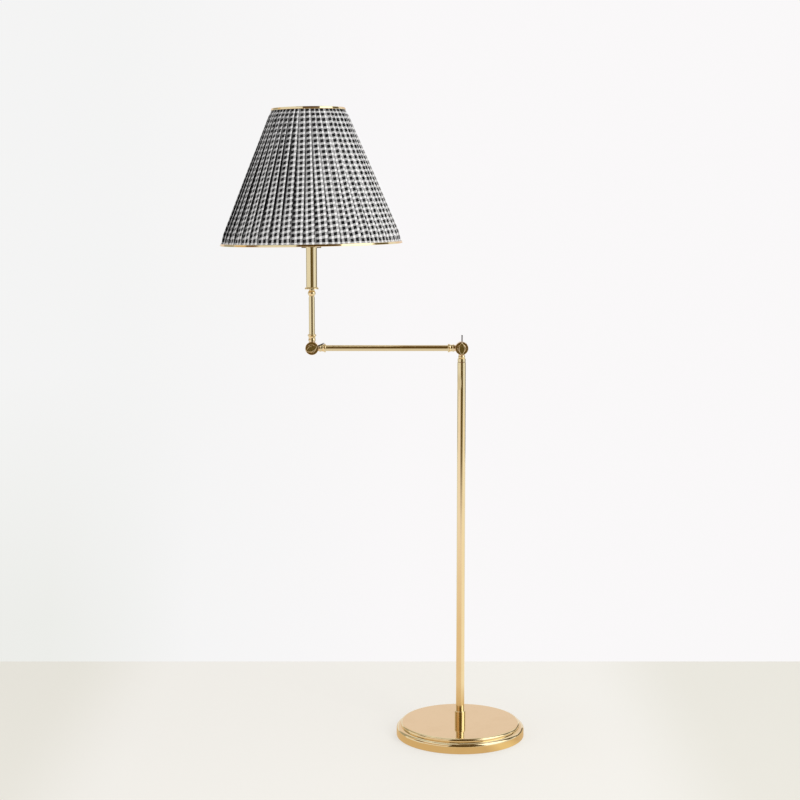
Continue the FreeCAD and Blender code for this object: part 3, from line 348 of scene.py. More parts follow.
hardLooks = {
    # grain and clouds: size in metres, detail and roughness of the noise; drawn: how the grain is
    # stretched; blend: from where to where in the clouds the second tone comes in, and how much
    # of it; rough: what sets the roughness, least and most; bump: height of the grain in metres;
    # fixed: plain inputs of the shader
    "castIron": {
        "fixed": {"Metallic": 0.6},
        "grain": (0.0016, 6.0, 0.7),
        "clouds": (0.02, 4.0),
        "blend": (0.5, 0.75, 0.5),
        "tones": (colour(0.045, 0.045, 0.048), colour(0.11, 0.055, 0.03)),
        "rough": ("grain", 0.55, 0.85),
        "bump": 0.0004,
    },
    "platedSteel": {
        "fixed": {"Metallic": 1.0},
        "grain": (0.002, 3.0),
        "drawn": (1.0, 1.0, 8.0),
        "clouds": (0.006, 4.0),
        "tones": (colour(0.56, 0.57, 0.56), colour(0.70, 0.68, 0.60)),
        "rough": ("clouds", 0.22, 0.42),
        "bump": 0.00001,
    },
    "blackPlastic": {
        "grain": (0.0008, 4.0, 0.6),
        "clouds": (0.008, 4.0),
        "blend": (0.4, 0.75, 0.6),
        "tones": (colour(0.018, 0.018, 0.019), colour(0.0325, 0.0325, 0.03375)),
        "rough": ("grain", 0.30, 0.48),
        "bump": 0.00002,
    },
    "leadInsulation": {
        "grain": (0.002, 4.0, 0.6),
        "clouds": (0.008, 4.0),
        "blend": (0.4, 0.75, 0.6),
        "tones": (colour(0.45, 0.36, 0.19), colour(0.5725, 0.46, 0.2475)),
        "rough": ("grain", 0.25, 0.4),
        "bump": 0.00002,
    },
    "fibre": {
        "grain": (0.0012, 5.0, 0.7),
        "drawn": (1.0, 6.0, 1.0),
        "tones": (colour(0.10, 0.035, 0.02), colour(0.24, 0.09, 0.05)),
        "rough": ("grain", 0.8, 0.8),
        "bump": 0.00005,
    },
    "capMetal": {
        "fixed": {"Metallic": 1.0},
        "grain": (0.0015, 4.0),
        "drawn": (1.0, 1.0, 6.0),
        "tones": (colour(0.62, 0.62, 0.62), colour(0.78, 0.78, 0.77)),
        "rough": ("grain", 0.25, 0.4),
        "bump": 0.00001,
    },
    "paintedWire": {
        "grain": (0.0015, 4.0),
        "blend": (0.45, 0.8, 0.5),
        "tones": (colour(0.80, 0.79, 0.75), colour(0.68, 0.66, 0.60)),
        "rough": ("grain", 0.28, 0.42),
        "bump": 0.00003,
    },
    "linerFilm": {
        "grain": (0.0012, 5.0, 0.65),
        "clouds": (0.04, 3.0),
        "tones": (colour(0.84, 0.82, 0.76), colour(0.89, 0.875, 0.83)),
        "rough": ("grain", 0.5, 0.68),
        "bump": 0.00003,
    },
    "softGlass": {
        "fixed": {
            "Transmission_Weight": 0.35, "IOR": 1.5, "Coat_Weight": 0.8, "Coat_Roughness": 0.05,
        },
        "grain": (0.0006, 3.0),
        "clouds": (0.02, 3.0),
        "tones": (colour(0.86, 0.86, 0.84), colour(0.93, 0.93, 0.91)),
        "rough": ("grain", 0.30, 0.45),
    },
}


def hardMaterial(name):
    # clouds blend two tones, and a finer grain raises and dulls the surface; a material without
    # clouds takes its tones from the grain
    look = hardLooks[name]
    material, tree, shader = newMaterial(name, **look.get("fixed", {}))
    place = objectPlace(tree)
    grainPlace = stretched(tree, place, look["drawn"]) if "drawn" in look else place
    made = {"grain": noise(tree, grainPlace, *look["grain"])}
    made["clouds"] = noise(tree, place, *look["clouds"]) if "clouds" in look else made["grain"]
    start, end, most = look.get("blend", (0.0, 1.0, 1.0))
    second = ranged(tree, made["clouds"], start, end, 0.0, most)
    feed(tree, shader.inputs["Base Color"], blendColours(tree, second, *look["tones"]))
    source, smoothest, dullest = look["rough"]
    rough = ranged(tree, made[source], 0.3, 0.7, smoothest, dullest)
    feed(tree, shader.inputs["Roughness"], rough)
    if "bump" in look:
        feed(tree, shader.inputs["Normal"], bumped(tree, made["grain"], look["bump"]))
    return material


for kind, names in (
    ("castIron", ("base_weight",)),
    ("platedSteel", (
        "base_washer", "base_nut", "base_nipple", "pole_foot_plug", "swivel_spindle",
        "swivel_nut", "stem_plug", "candle_nipple",
    )),
    ("blackPlastic", ("cord_bushing", "socket_body", "switch_knob", "switch_shaft")),
    ("leadInsulation", ("pole_lead", "arm_lead", "stem_lead")),
    ("fibre", ("arm_friction_washer", "stem_friction_washer", "swivel_washer")),
    ("capMetal", ("bulb_cap",)),
    ("paintedWire", ("shade_spider", "shade_bottom_wire")),
    ("linerFilm", ("shade_liner",)),
    ("softGlass", ("bulb_glass",)),
):
    dress(hardMaterial(kind), *names)
print("hard materials done")

# pleated cloth of the shade

shadeShape = {
    "footLevel": 1.1282,
    "footRadius": 0.203,
    "slope": 0.40902,  # by how much the radius falls for each metre up
    "leanAngle": 1.0,  # degrees towards -X
    "leanPoint": (headX, 1.1312),
    "lift": 0.0004,
}
pleatLook = {
    # heights are shares of the cloth's own, from 0 at its foot to 1 at its top
    "count": 48,
    "clothEach": 0.0369,  # cloth taken up by one pleat
    "inner": (0.00420, 0.00525),  # hidden folds inside the cone, at the bands and between them
    "outer": (-0.00150, 0.00210, 0.00060),  # creases outside it: bands, lower part, upper part
    "upperFrom": (0.45, 0.95),  # between which heights the lower part becomes the upper
    "least": 0.002,  # the narrowest overlap
    "skew": (0.15, 0.04),  # how much a row climbs towards the crease, and how that varies
    "heldSkew": 0.25,  # share of it at the bands
    "panel": (0.03, 0.92),  # where the flat of a panel starts and ends, as shares of its width
    "bulge": 0.92,  # power of its rise
    "foldRadius": 0.00034,
    "thickness": 0.00024,
    "foldShade": (0.0014, 0.0040),  # where the painted shade of a fold starts to fade, and where it ends
    "foldReach": (0.75, 1.25),  # times that, and what the side with the darker painted shade adds
    "foldDark": (0.62, 0.50),  # the same for how deep the painted shade gets
    "fullSide": (-13.0, 36.0),  # where that darker side lies and how far it reaches, degrees
    "foldVaries": (0.16, 2.3, 0.9),  # by how much the painted shade varies, and the paces of its two waves from pleat to pleat
    "fadesIn": (0.5, 0.06, 0.36),  # the painted shade at the foot, and between which heights it gets full
    "fadesOut": (0.4, 0.55, 0.95),  # what the painted shade loses towards the top, and between which heights
    "uneven": 0.055,  # share of a pleat by which creases wander
    "sway": 0.0009,  # how far a crease swings to its sides on its way up
    "swings": (0.3, 0.9),  # how often, least and most
    "drift": ((0.0011, 0.71, 0.4), (0.0008, 1.9, 2.0)),  # waves: size, pace and start
    "softness": (0.80, 1.10),  # how high a pleat stands, beside the others
    "phase": 0.72,
    "seed": 11,
    "rows": 48,
    "crowding": 0.85,  # of the rows towards the bands
    "first": 1.1270,  # levels of the cloth's two edges
    "last": 1.4245,
    "free": (0.015, 0.075, 0.93, 0.985),  # between which heights each band lets go of the cloth
}


def leaned(points):
    # the upright cone turned by its lean about a point near its foot, and lifted
    turn = math.radians(shadeShape["leanAngle"])
    pivotX, pivotZ = shadeShape["leanPoint"]
    sideways, height = points[..., 0] - pivotX, points[..., 2] - pivotZ
    return np.stack(
        [
            pivotX + sideways * math.cos(turn) - height * math.sin(turn),
            points[..., 1],
            pivotZ + sideways * math.sin(turn) + height * math.cos(turn) + shadeShape["lift"],
        ],
        axis=-1,
    )


def wallRadius(level):
    # radius of the straight cone at a level
    return shadeShape["footRadius"] - shadeShape["slope"] * (level - shadeShape["footLevel"])


def pleatedCloth():
    # Each pleat is a panel that rises from a hidden inner fold to an outer crease, and a strip
    # that comes back under it to the next inner fold. A point is given by how far it lies left of
    # the crease and how high it stands off the folds, square to the cone; the cloth left over as
    # the cone narrows goes into the overlap, so that the grain of every panel stays straight.
    look = pleatLook
    random = np.random.default_rng(look["seed"])
    count = look["count"]
    share = np.linspace(0, 1, look["rows"])
    share = share - look["crowding"] * np.sin(2 * np.pi * share) / (2 * np.pi)
    level = look["first"] + share * (look["last"] - look["first"])
    radius = wallRadius(level)[:, None]
    pitch = 2 * np.pi / count
    number = np.arange(count)
    wander = random.normal(0, look["uneven"], count) * pitch
    swing = share[:, None] * random.uniform(*look["swings"], count) + random.random(count)
    sway = look["sway"] / radius * np.sin(2 * np.pi * swing)
    crease = (number + look["phase"]) * pitch + wander + sway
    before = np.roll(crease, 1, axis=1)
    before[:, 0] -= 2 * np.pi
    seen = radius * (crease - before)
    # a sum of waves shifts the checks a little from pleat to pleat
    drift = sum(size * np.sin(number * pace + start) for size, pace, start in look["drift"])
    step = look["clothEach"] + drift - np.roll(drift, 1)
    # from the middle of one panel to the middle of the next lie half of each and the strip between
    # them; the overlap that makes these come to the step is found by repeating
    overlap = (look["clothEach"] - seen) / 2
    for _ in range(24):
        overlap = (step - (np.roll(seen + overlap, 1, axis=1) + seen) / 2) / 1.5
    overlap = np.maximum(overlap, look["least"])
    panel = seen + overlap
    after = np.roll(overlap, -1, axis=1)
    middle = np.cumsum(step)
    free = eased(share, *look["free"][:2]) * (1 - eased(share, *look["free"][2:]))
    atBand, below, above = look["outer"]
    upper = eased(share, *look["upperFrom"])
    outer = atBand + free * (below - atBand) + free * (above - below) * upper
    inner = look["inner"][0] + free * (look["inner"][1] - look["inner"][0])
    softness = random.uniform(*look["softness"], count)
    rise = (outer + inner)[:, None] * (1 + (softness - 1) * free[:, None])
    low = radius - inner[:, None]
    climbs = random.normal(*look["skew"], count)
    held = look["heldSkew"]
    skew = climbs * (held + (1 - held) * free[:, None]) * panel
    fold = look["foldRadius"]

    # a pleat's section is a row of places, each with its distance from the crease, its height, its
    # place on the cloth, its climb and its share of the painted fold shade; first the panel
    left, height, along, climb, dark = [], [], [], [], []
    hidden = overlap / panel
    middleSide, reachSide = look["fullSide"]
    turned = (np.degrees(crease.mean(axis=0)) + 180 - middleSide) % 360 - 180
    towardDarkerFolds = np.exp(-(turned / reachSide) ** 2)
    usual, added = look["foldReach"]
    begin, end = (hidden + far * (usual + added * towardDarkerFolds) / panel for far in look["foldShade"])
    first, last = look["panel"]
    steps = [first + 0 * panel, 0.5 * hidden, hidden, begin, end]
    steps += [end + (last - end) * q for q in (0.25, 0.5, 0.75, 1.0)]
    for q, foldShadeShare in zip(steps, (1, 1, 1, 0.85, 0, 0, 0, 0, 0)):
        dark.append(foldShadeShare + 0 * panel)
        left.append(panel * (1 - q))
        height.append(rise * q ** look["bulge"])
        along.append(middle - panel * (0.5 - q))
        climb.append(skew * (q - 0.5))
    # the round of the crease
    for turn, foldShadeShare in ((75, 0), (35, 0), (0, 0.1), (-35, 0.5), (-75, 1)):
        bend = math.radians(turn)
        dark.append(foldShadeShare + 0 * panel)
        left.append(fold * (1 - math.cos(bend)) + 0 * panel)
        height.append(rise - fold + fold * math.sin(bend))
        along.append(middle + panel / 2 - fold * bend * 0.3)
        climb.append(skew * 0.5)
    # the strip that comes back under it
    nextSkew = np.roll(skew, -1, axis=1)
    for q in (0.25, 0.5, 0.78):
        dark.append(1 + 0 * panel)
        left.append(after * q)
        height.append((rise - 2 * fold) * (1 - q) + 2 * fold * q)
        along.append(middle + panel / 2 + after * q)
        climb.append(0.5 * (skew * (1 - q) - nextSkew * q))
    # and the round of the next inner fold
    for turn in (125, 235):
        bend = math.radians(turn)
        dark.append(1 + 0 * panel)
        left.append(after - fold - fold * math.cos(bend) * 0.5)
        height.append(fold + fold * math.sin(bend) + 0 * panel)
        along.append(middle + panel / 2 + after + fold * (turn - 180) / 180)
        climb.append(-0.5 * nextSkew)
    left, height, along, climb, dark = (
        np.stack(part, axis=-1) for part in (left, height, along, climb, dark)
    )
    # the painted shade of the folds: deeper on one side of the shade, varying from pleat to pleat,
    # lighter at the foot and at the top
    deepestFoldShade = look["foldDark"][0] + look["foldDark"][1] * towardDarkerFolds
    size, fast, slow = look["foldVaries"]
    deepestFoldShade = deepestFoldShade + size * np.sin(number * fast) * np.sin(number * slow)
    atFoot, *rising = look["fadesIn"]
    atTop, *falling = look["fadesOut"]
    foldShadeFading = (atFoot + (1 - atFoot) * eased(share, *rising)) * (1 - atTop * eased(share, *falling))
    dark *= deepestFoldShade[:, None] * foldShadeFading[:, None, None]
    tilt = math.atan(shadeShape["slope"])
    distance = low[..., None] + height * math.cos(tilt) ** 2
    lifted = height * math.cos(tilt) * math.sin(tilt) * free[:, None, None]
    angle = crease[..., None] - left / radius[..., None]
    angle, distance, along, climb, lifted, dark = (
        part.reshape(look["rows"], -1) for part in (angle, distance, along, climb, lifted, dark)
    )
    points = np.stack(
        [
            headX + distance * np.sin(angle),
            -distance * np.cos(angle),
            level[:, None] + lifted,
        ],
        axis=-1,
    )
    slant = (level - shadeShape["footLevel"]) * math.hypot(1, shadeShape["slope"])
    across = np.concatenate([along, along[:, :1] + step.sum()], axis=1)
    climb = np.concatenate([climb, climb[:, :1]], axis=1)
    cloth = np.stack([across, slant[:, None] - climb], axis=-1)
    return leaned(points), cloth, dark, float(step.sum())


clothLook = {
    "acrossCheck": 0.0123,  # repeats of the checks
    "downCheck": 0.0126,
    "firstBlackRow": 0.0104,  # its middle, up the slope from the foot of the cone
    "bandEdge": (0.300, 0.284),  # where a dark band ends, in repeats from its middle
    "threads": 30,  # in one repeat
    "unevenScale": 260,  # of the noise that pushes the threads aside, and how far it does
    "uneven": 0.00028,
    "upper": (0.72, 0.28),  # shares of the upper and the lower thread in the tone
    "slub": (0.0009, 4.0, 0.65),
    "stains": (0.03, 3.0),
    "white": (colour(0.81, 0.81, 0.82), colour(0.91, 0.91, 0.915)),
    "black": (colour(0.003, 0.003, 0.004), colour(0.014, 0.014, 0.016)),
    "mixed": 1.08,  # power that sets how dark the half-dark checks are
    "gap": colour(0.01, 0.01, 0.01),  # painted shade between threads
    "gapFrom": (0.0, 0.7, 0.16, 0.0),  # least and most height of a thread, and the painted shade's share there
    "stain": colour(0.30, 0.29, 0.28),
    "stainFrom": (0.4, 0.8, 0.0, 0.08),  # the same in the noise of the stains
    # colour of the painted shade in the folds
    "fold": colour(0.006, 0.006, 0.007),
    "bump": 0.00005,
}


def ginghamCloth():
    # checks come from the cloth's own u and v in metres: a dark band in each direction, and a
    # plain weave of single threads decides which of the two is on top
    look = clothLook
    material, tree, shader = newMaterial(
        "ginghamCloth", Roughness=0.9, Sheen_Weight=0.02, Sheen_Roughness=0.5,
        Specular_IOR_Level=0.06,
    )
    flat = addNode(tree, "UVMap", uv_map="cloth")
    place = objectPlace(tree)
    shake = tree.nodes.new("ShaderNodeTexNoise")
    feed(tree, shake.inputs["Vector"], place)
    shake.inputs["Scale"].default_value = look["unevenScale"]
    middle, push = (0.5, 0.5, 0.5), (look["uneven"], look["uneven"], 0.0)
    moved = addNode(tree, "VectorMath", shake.outputs["Color"], middle, operation="SUBTRACT")
    scaled = addNode(tree, "VectorMath", moved, push, operation="MULTIPLY")
    across, down, _ = separated(tree, addNode(tree, "VectorMath", flat, scaled, operation="ADD"))

    def darkBand(value, repeat, shift):
        turn = maths(tree, "FRACT", maths(tree, "MULTIPLY_ADD", value, 1 / repeat, shift))
        off = maths(tree, "ABSOLUTE", maths(tree, "SUBTRACT", turn, 0.5))
        return ranged(tree, off, *look["bandEdge"], 0.0, 1.0)

    def rounded(count):
        # one thread's section, a half wave
        return maths(tree, "SINE", maths(tree, "MULTIPLY", maths(tree, "FRACT", count), math.pi))

    warp = darkBand(across, look["acrossCheck"], 0.0)
    weft = darkBand(down, look["downCheck"], 0.5 - look["firstBlackRow"] / look["downCheck"])
    countAcross = maths(tree, "MULTIPLY", across, look["threads"] / look["acrossCheck"])
    countDown = maths(tree, "MULTIPLY", down, look["threads"] / look["downCheck"])
    parity = maths(tree, "PINGPONG", maths(
        tree, "ADD", maths(tree, "FLOOR", countAcross), maths(tree, "FLOOR", countDown)), 1.0)
    onTop = addNode(tree, "Mix", parity, None, warp, weft)
    other = addNode(tree, "Mix", parity, None, weft, warp)
    upper, lower = look["upper"]
    dark = maths(tree, "MULTIPLY_ADD", onTop, upper, maths(tree, "MULTIPLY", other, lower))
    ridge = addNode(tree, "Mix", parity, None, rounded(countAcross), rounded(countDown))
    slub = noise(tree, place, *look["slub"])
    soft = noise(tree, place, *look["stains"])
    white = blendColours(tree, slub, *look["white"])
    black = blendColours(tree, slub, *look["black"])
    checked = blendColours(tree, maths(tree, "POWER", dark, look["mixed"]), white, black)
    # painted shade in the gaps between the threads
    shaded = blendColours(tree, ranged(tree, ridge, *look["gapFrom"]), checked, look["gap"])
    toned = blendColours(tree, ranged(tree, soft, *look["stainFrom"]), shaded, look["stain"])
    # painted shade: the fold attribute darkens the checks in and beside each fold
    foldShadeInput = tree.nodes.new("ShaderNodeAttribute")
    foldShadeInput.attribute_name = "fold"
    feed(tree, shader.inputs["Base Color"], blendColours(
        tree, foldShadeInput.outputs["Fac"], toned, look["fold"]))
    feed(tree, shader.inputs["Normal"], bumped(
        tree, maths(tree, "MULTIPLY_ADD", slub, 0.4, ridge), look["bump"]))
    return material


clothPoints, clothPlan, foldDark, clothWidth = pleatedCloth()
clothMesh = gridMesh("pleatedCover", clothPoints, closed=True, cloth=clothPlan)
# the fold attribute carries the painted shade of the folds
foldShadeLayer = clothMesh.attributes.new("fold", "FLOAT", "POINT")
foldShadeLayer.data.foreach_set("value", foldDark.reshape(-1).astype(np.float32))
cover = addObject("pleatedCover", clothMesh)
clothMesh.materials.append(ginghamCloth())
wall = cover.modifiers.new("wall", "SOLIDIFY")
wall.thickness = pleatLook["thickness"]
wall.offset = 0.0
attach(cover, "stem")
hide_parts("shade_cover")

# felt pad

feltLook = {
    "radius": 0.1434,
    "thickness": 0.003,
    "edge": 0.0009,
    "waver": 0.0006,  # share of the radius by which the rim goes in and out
    "steps": 192,
    "hairs": (0.0007, 6.0, 0.75),
    "tufts": (0.006, 4.0),
    "tones": (colour(0.006, 0.016, 0.008), colour(0.035, 0.055, 0.035)),
    "bump": 0.0003,
}


def feltMaterial():
    material, tree, shader = newMaterial("felt", Roughness=0.95, Sheen_Weight=0.6)
    place = objectPlace(tree)
    hairs = noise(tree, place, *feltLook["hairs"])
    tufts = noise(tree, place, *feltLook["tufts"])
    both = maths(tree, "MULTIPLY_ADD", tufts, 0.4, maths(tree, "MULTIPLY", hairs, 0.6))
    feed(tree, shader.inputs["Base Color"], blendColours(tree, both, *feltLook["tones"]))
    feed(tree, shader.inputs["Normal"], bumped(tree, hairs, feltLook["bump"]))
    return material


def feltPad():
    # a disc with a rounded edge, its profile of radius and level carried once round the axis; the
    # radius wavers by the product of two waves round it
    radius, thick, edge = feltLook["radius"], feltLook["thickness"], feltLook["edge"]
    turn = np.linspace(-0.5, 0.5, 9) * np.pi
    rim = np.stack(
        [radius - edge + edge * np.cos(turn), thick / 2 + (thick / 2) * np.sin(turn)], axis=-1
    )
    inward = np.linspace(0, 1, 8)[1:, None] ** 1.5
    foot = np.concatenate([(1 - inward) * (radius - edge), 0 * inward], axis=1)
    top = np.concatenate([(1 - inward) * (radius - edge), 0 * inward + thick], axis=1)
    profile = np.concatenate([foot[::-1], rim, top])
    angle = np.linspace(0, 2 * np.pi, feltLook["steps"], endpoint=False)
    waver = feltLook["waver"] * (np.sin(7 * angle + 1) * np.sin(16 * angle) - 1)
    away, height = profile[:, :1] * (1 + waver), profile[:, 1:] + 0 * angle
    points = np.stack([away * np.cos(angle), away * np.sin(angle), height], axis=-1)
    return cleaned(gridMesh("feltPad", points, closed=True))


pad = addObject("feltPad", feltPad())
pad.data.materials.append(feltMaterial())
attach(pad, "stand")
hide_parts("base_pad")
print("felt pad done")

# fluted knob of the switch

knobLook = {
    "front": 0.0290,  # distances from the lamp holder's axis, towards the front
    "back": 0.0170,
    "boreEnd": 0.0280,
    "bore": 0.00165,
    "radius": 0.0056,
    "edge": 0.0009,
    "flutes": 20,
    "fluteDepth": 0.00042,
    "dome": 0.0006,
    "groove": (0.0014, 0.0005),  # width and depth of the line across the face
}


def flutedKnob():
    # a profile turned round the shaft: the radius of its side dips by the depth of a flute times
    # the square of a wave round the axis, and its domed face sinks along one straight groove
    look = knobLook
    bend = np.linspace(0, np.pi / 2, 7)
    edge, radius = look["edge"], look["radius"]
    front, back = look["front"] - look["dome"], look["back"]
    side = np.linspace(front - edge, back + edge, 12)
    face = np.linspace(0, 1, 14) * (radius - edge)
    corner = np.stack(
        [radius - edge + edge * np.sin(bend), front - edge + edge * np.cos(bend)], axis=-1)
    heel = np.stack(
        [radius - edge + edge * np.cos(bend), back + edge - edge * np.sin(bend)], axis=-1)
    bore = [[look["bore"], back], [look["bore"], look["boreEnd"]], [0, look["boreEnd"]]]
    dome = look["dome"] * (1 - (face / radius) ** 2)
    profile = np.concatenate([
        np.stack([face, front + dome], axis=-1),
        corner[1:],
        np.stack([0 * side[1:-1] + radius, side[1:-1]], axis=-1),
        heel,
        np.array(bore),
    ])
    angle = np.linspace(0, 2 * np.pi, look["flutes"] * 12, endpoint=False)
    away, reach = profile[:, :1], profile[:, 1:]
    onSide = eased(away, radius - edge, radius)
    away = away - look["fluteDepth"] * onSide * np.cos(look["flutes"] * angle / 2) ** 2
    across, up = away * np.sin(angle), away * np.cos(angle)
    wide, deep = look["groove"]
    onFace = eased(reach, front - edge, front)
    reach = reach - deep * onFace * (1 - eased(np.abs(across), 0.2 * wide, 0.5 * wide))
    axisX, _, axisZ = pins["switch_turn"]
    points = np.stack([axisX + across, -reach, axisZ + up], axis=-1)
    return cleaned(gridMesh("flutedKnob", points, closed=True), sharp=50)


knob = addObject("flutedKnob", flutedKnob())
knob.data.materials.append(bpy.data.materials["blackPlastic"])
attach(knob, "switch")
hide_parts("switch_knob")
print("knob done")

# studio

studio = {
    "floor": (colour(0.885, 0.862, 0.795), colour(0.89562, 0.872344, 0.80454)),
    "floorClouds": (0.35, 4.0),  # noise between those two tones, and the finer one of the gloss
    "floorGrain": (0.004, 3.0),
    "floorRough": (0.55, 0.65),
    "floorSeen": (colour(0.91, 0.90, 0.87), colour(0.785, 0.775, 0.71)),  # painted light: the floor as the camera sees it, paler in the middle, darker at the far sides
    "floorShare": 0.6,  # how much of that the camera gets, besides the floor's own light and shade
    "floorMiddle": -0.2,  # X of the middle, and how far from it the tone starts to change and ends
    "floorSides": (0.52, 0.82),
    "floorEnd": (-3.45, 0.62),  # front and back edge, metres
    "floorHalf": 7.0,
    "backdrop": (colour(0.905, 0.905, 0.902), colour(0.953, 0.938, 0.944)),  # painted light: left darker, right paler
    "backdropTurn": (-0.16, 0.0),  # where one becomes the other, as the X of a direction
    "backdropLow": colour(0.845, 0.85, 0.82),  # painted shade low down on the left
    "lowFrom": ((-0.12, -0.2), (0.80, 0.90), (-0.1, -0.24)),  # the same for it, in X, Y and Z
    "ambient": colour(1.0, 0.985, 0.975),
    "ambientLevel": 0.595,
}


def glowing(name, tone=None, strength=1.0):
    material = bpy.data.materials.new(name)
    material.use_nodes = True
    tree = material.node_tree
    tree.nodes.clear()
    shader = tree.nodes.new("ShaderNodeEmission")
    shader.inputs[1].default_value = strength
    if tone is not None:
        shader.inputs[0].default_value = tone
    tree.links.new(shader.outputs[0], tree.nodes.new("ShaderNodeOutputMaterial").inputs[0])
    material.cycles.emission_sampling = "NONE"
    return material, tree, shader


def onlyReflected(name, points, material):
    # a surface of the studio that is met only in reflections
    patch = addObject(name, gridMesh(name, points))
    patch.data.materials.append(material)
    patch.visible_camera = False
    patch.visible_diffuse = False
    patch.visible_shadow = False


def flatGrid(corners, height):
    # one level square face between its front left and its back right corner
    (left, front), (right, back) = corners
    return np.array(
        [[[left, front, height], [right, front, height]],
         [[left, back, height], [right, back, height]]], float
    )


def floorMaterial():
    material, tree, shader = newMaterial("floor", Specular_IOR_Level=0.25)
    place = objectPlace(tree)
    clouds = noise(tree, place, *studio["floorClouds"])
    fine = noise(tree, place, *studio["floorGrain"])
    feed(tree, shader.inputs["Base Color"], blendColours(tree, clouds, *studio["floor"]))
    rough = ranged(tree, fine, 0.3, 0.7, *studio["floorRough"])
    feed(tree, shader.inputs["Roughness"], rough)
    # painted light: the camera sees the floor paler in the middle and darker towards its far sides
    across, _, _ = separated(tree, place)
    aside = maths(tree, "ABSOLUTE", maths(tree, "SUBTRACT", across, studio["floorMiddle"]))
    outer = addNode(
        tree, "MapRange", aside, *studio["floorSides"], 0.0, 1.0, interpolation_type="SMOOTHSTEP")
    glow = addNode(tree, "Emission", blendColours(tree, outer, *studio["floorSeen"]), 1.0)
    sight = tree.nodes.new("ShaderNodeLightPath").outputs["Is Camera Ray"]
    share = maths(tree, "MULTIPLY", sight, studio["floorShare"])
    both = addNode(tree, "MixShader", share, shader.outputs[0], glow)
    output = next(node for node in tree.nodes if node.type == "OUTPUT_MATERIAL")
    tree.links.new(both, output.inputs[0])
    material.cycles.emission_sampling = "NONE"
    return material


half = studio["floorHalf"]
near, far = studio["floorEnd"]
floorPoints = flatGrid(((-half, near), (half, far)), 0)
floor = addObject("studioFloor", gridMesh("studioFloor", floorPoints))
floor.data.materials.append(floorMaterial())


dome = {"middle": (-0.17, 0.0, 0.7), "radius": 6.5, "steps": 16}
darkRoom = colour(0.13, 0.092, 0.028)
brownRoom = colour(0.10, 0.055, 0.015)
gapRoom = colour(0.14, 0.11, 0.06)
domePatches = (
    # name, azimuth from and to, elevation from and to, tone and strength
    ("darkSide", -21, 27, -9, 18, darkRoom),
    ("brownSide", -21, 43, 18, 62, brownRoom),
    ("darkCorner", 27, 45, -9, -4.6, darkRoom),
    ("halfCorner", 27, 45, -4.6, 18, colour(0.36, 0.32, 0.25)),
    ("paleSide", 45.2, 74, -9, 9, colour(1.0, 1.03, 1.08)),
    ("palerSide", 74, 108, -9, 9, colour(0.84, 0.86, 0.88)),
    ("brightWindow", 44, 92, 9.5, 55, colour(1.0, 0.97, 0.92), 2.0),
    ("darkGap", 114, 152, -9, 9, gapRoom),
    ("darkGapHigh", 96, 122, 9, 60, gapRoom),
    ("dimSide", -142, -114, -9, 60, colour(0.42, 0.40, 0.33)),
    ("goldLeft", -113, -93, 9.5, 34, colour(0.75, 0.55, 0.33)),
    ("brownSlit", -93, -74, 9.5, 34, colour(0.22, 0.13, 0.06)),
    ("goldFront", -74, -21.5, 9.5, 34, colour(0.66, 0.42, 0.22)),
    ("warmBack", 140, 220, 7, 34, colour(0.89, 0.75, 0.69)),
    ("darkCeiling", -180, 180, 62.5, 90, colour(0.26, 0.20, 0.12)),
)


def domePatch(name, fromAngle, toAngle, low, high, tone, strength=1.0):
    # a piece of a big sphere round the lamp: azimuth counts from the camera's side towards +X,
    # elevation from the level of the sphere's middle
    turn = np.radians(np.linspace(fromAngle, toAngle, dome["steps"]))
    rise = np.radians(np.linspace(low, high, dome["steps"]))
    turn, rise = np.meshgrid(turn, rise)
    outward = np.stack(
        [np.sin(turn) * np.cos(rise), -np.cos(turn) * np.cos(rise), np.sin(rise)], axis=-1)
    points = np.array(dome["middle"]) + dome["radius"] * outward
    onlyReflected(name, points, glowing(name, tone, strength)[0])


for patch in domePatches:
    domePatch(*patch)

boardLook = {
    # a way across is X over the distance in front of the lamp, so lines of it run out from there
    "corners": ((-6.5, -6.6), (6.5, far)),
    "lift": 0.0003,  # above the floor
    "close": (colour(0.75, 0.55, 0.33), colour(0.98, 0.77, 0.45)),  # round the base, and its streak
    "streak": ((0.45, 0.9), (2.6, 1.2)),  # ways across where the streak comes in and goes out
    "middle": colour(0.90, 0.72, 0.54),
    "far": colour(1.03, 0.94, 0.93),
    "right": colour(1.06, 0.98, 0.87),
    "middleFrom": (0.24, 0.42),  # distances from the lamp
    "farFrom": (0.9, 2.6),
    "rightFrom": (0.1, 0.7),
    "gloom": ((-0.62, -0.30), (0.95, 0.60)),  # left and right edge of the dark, ways across
    "gloomAhead": (1.9, 4.4),
}


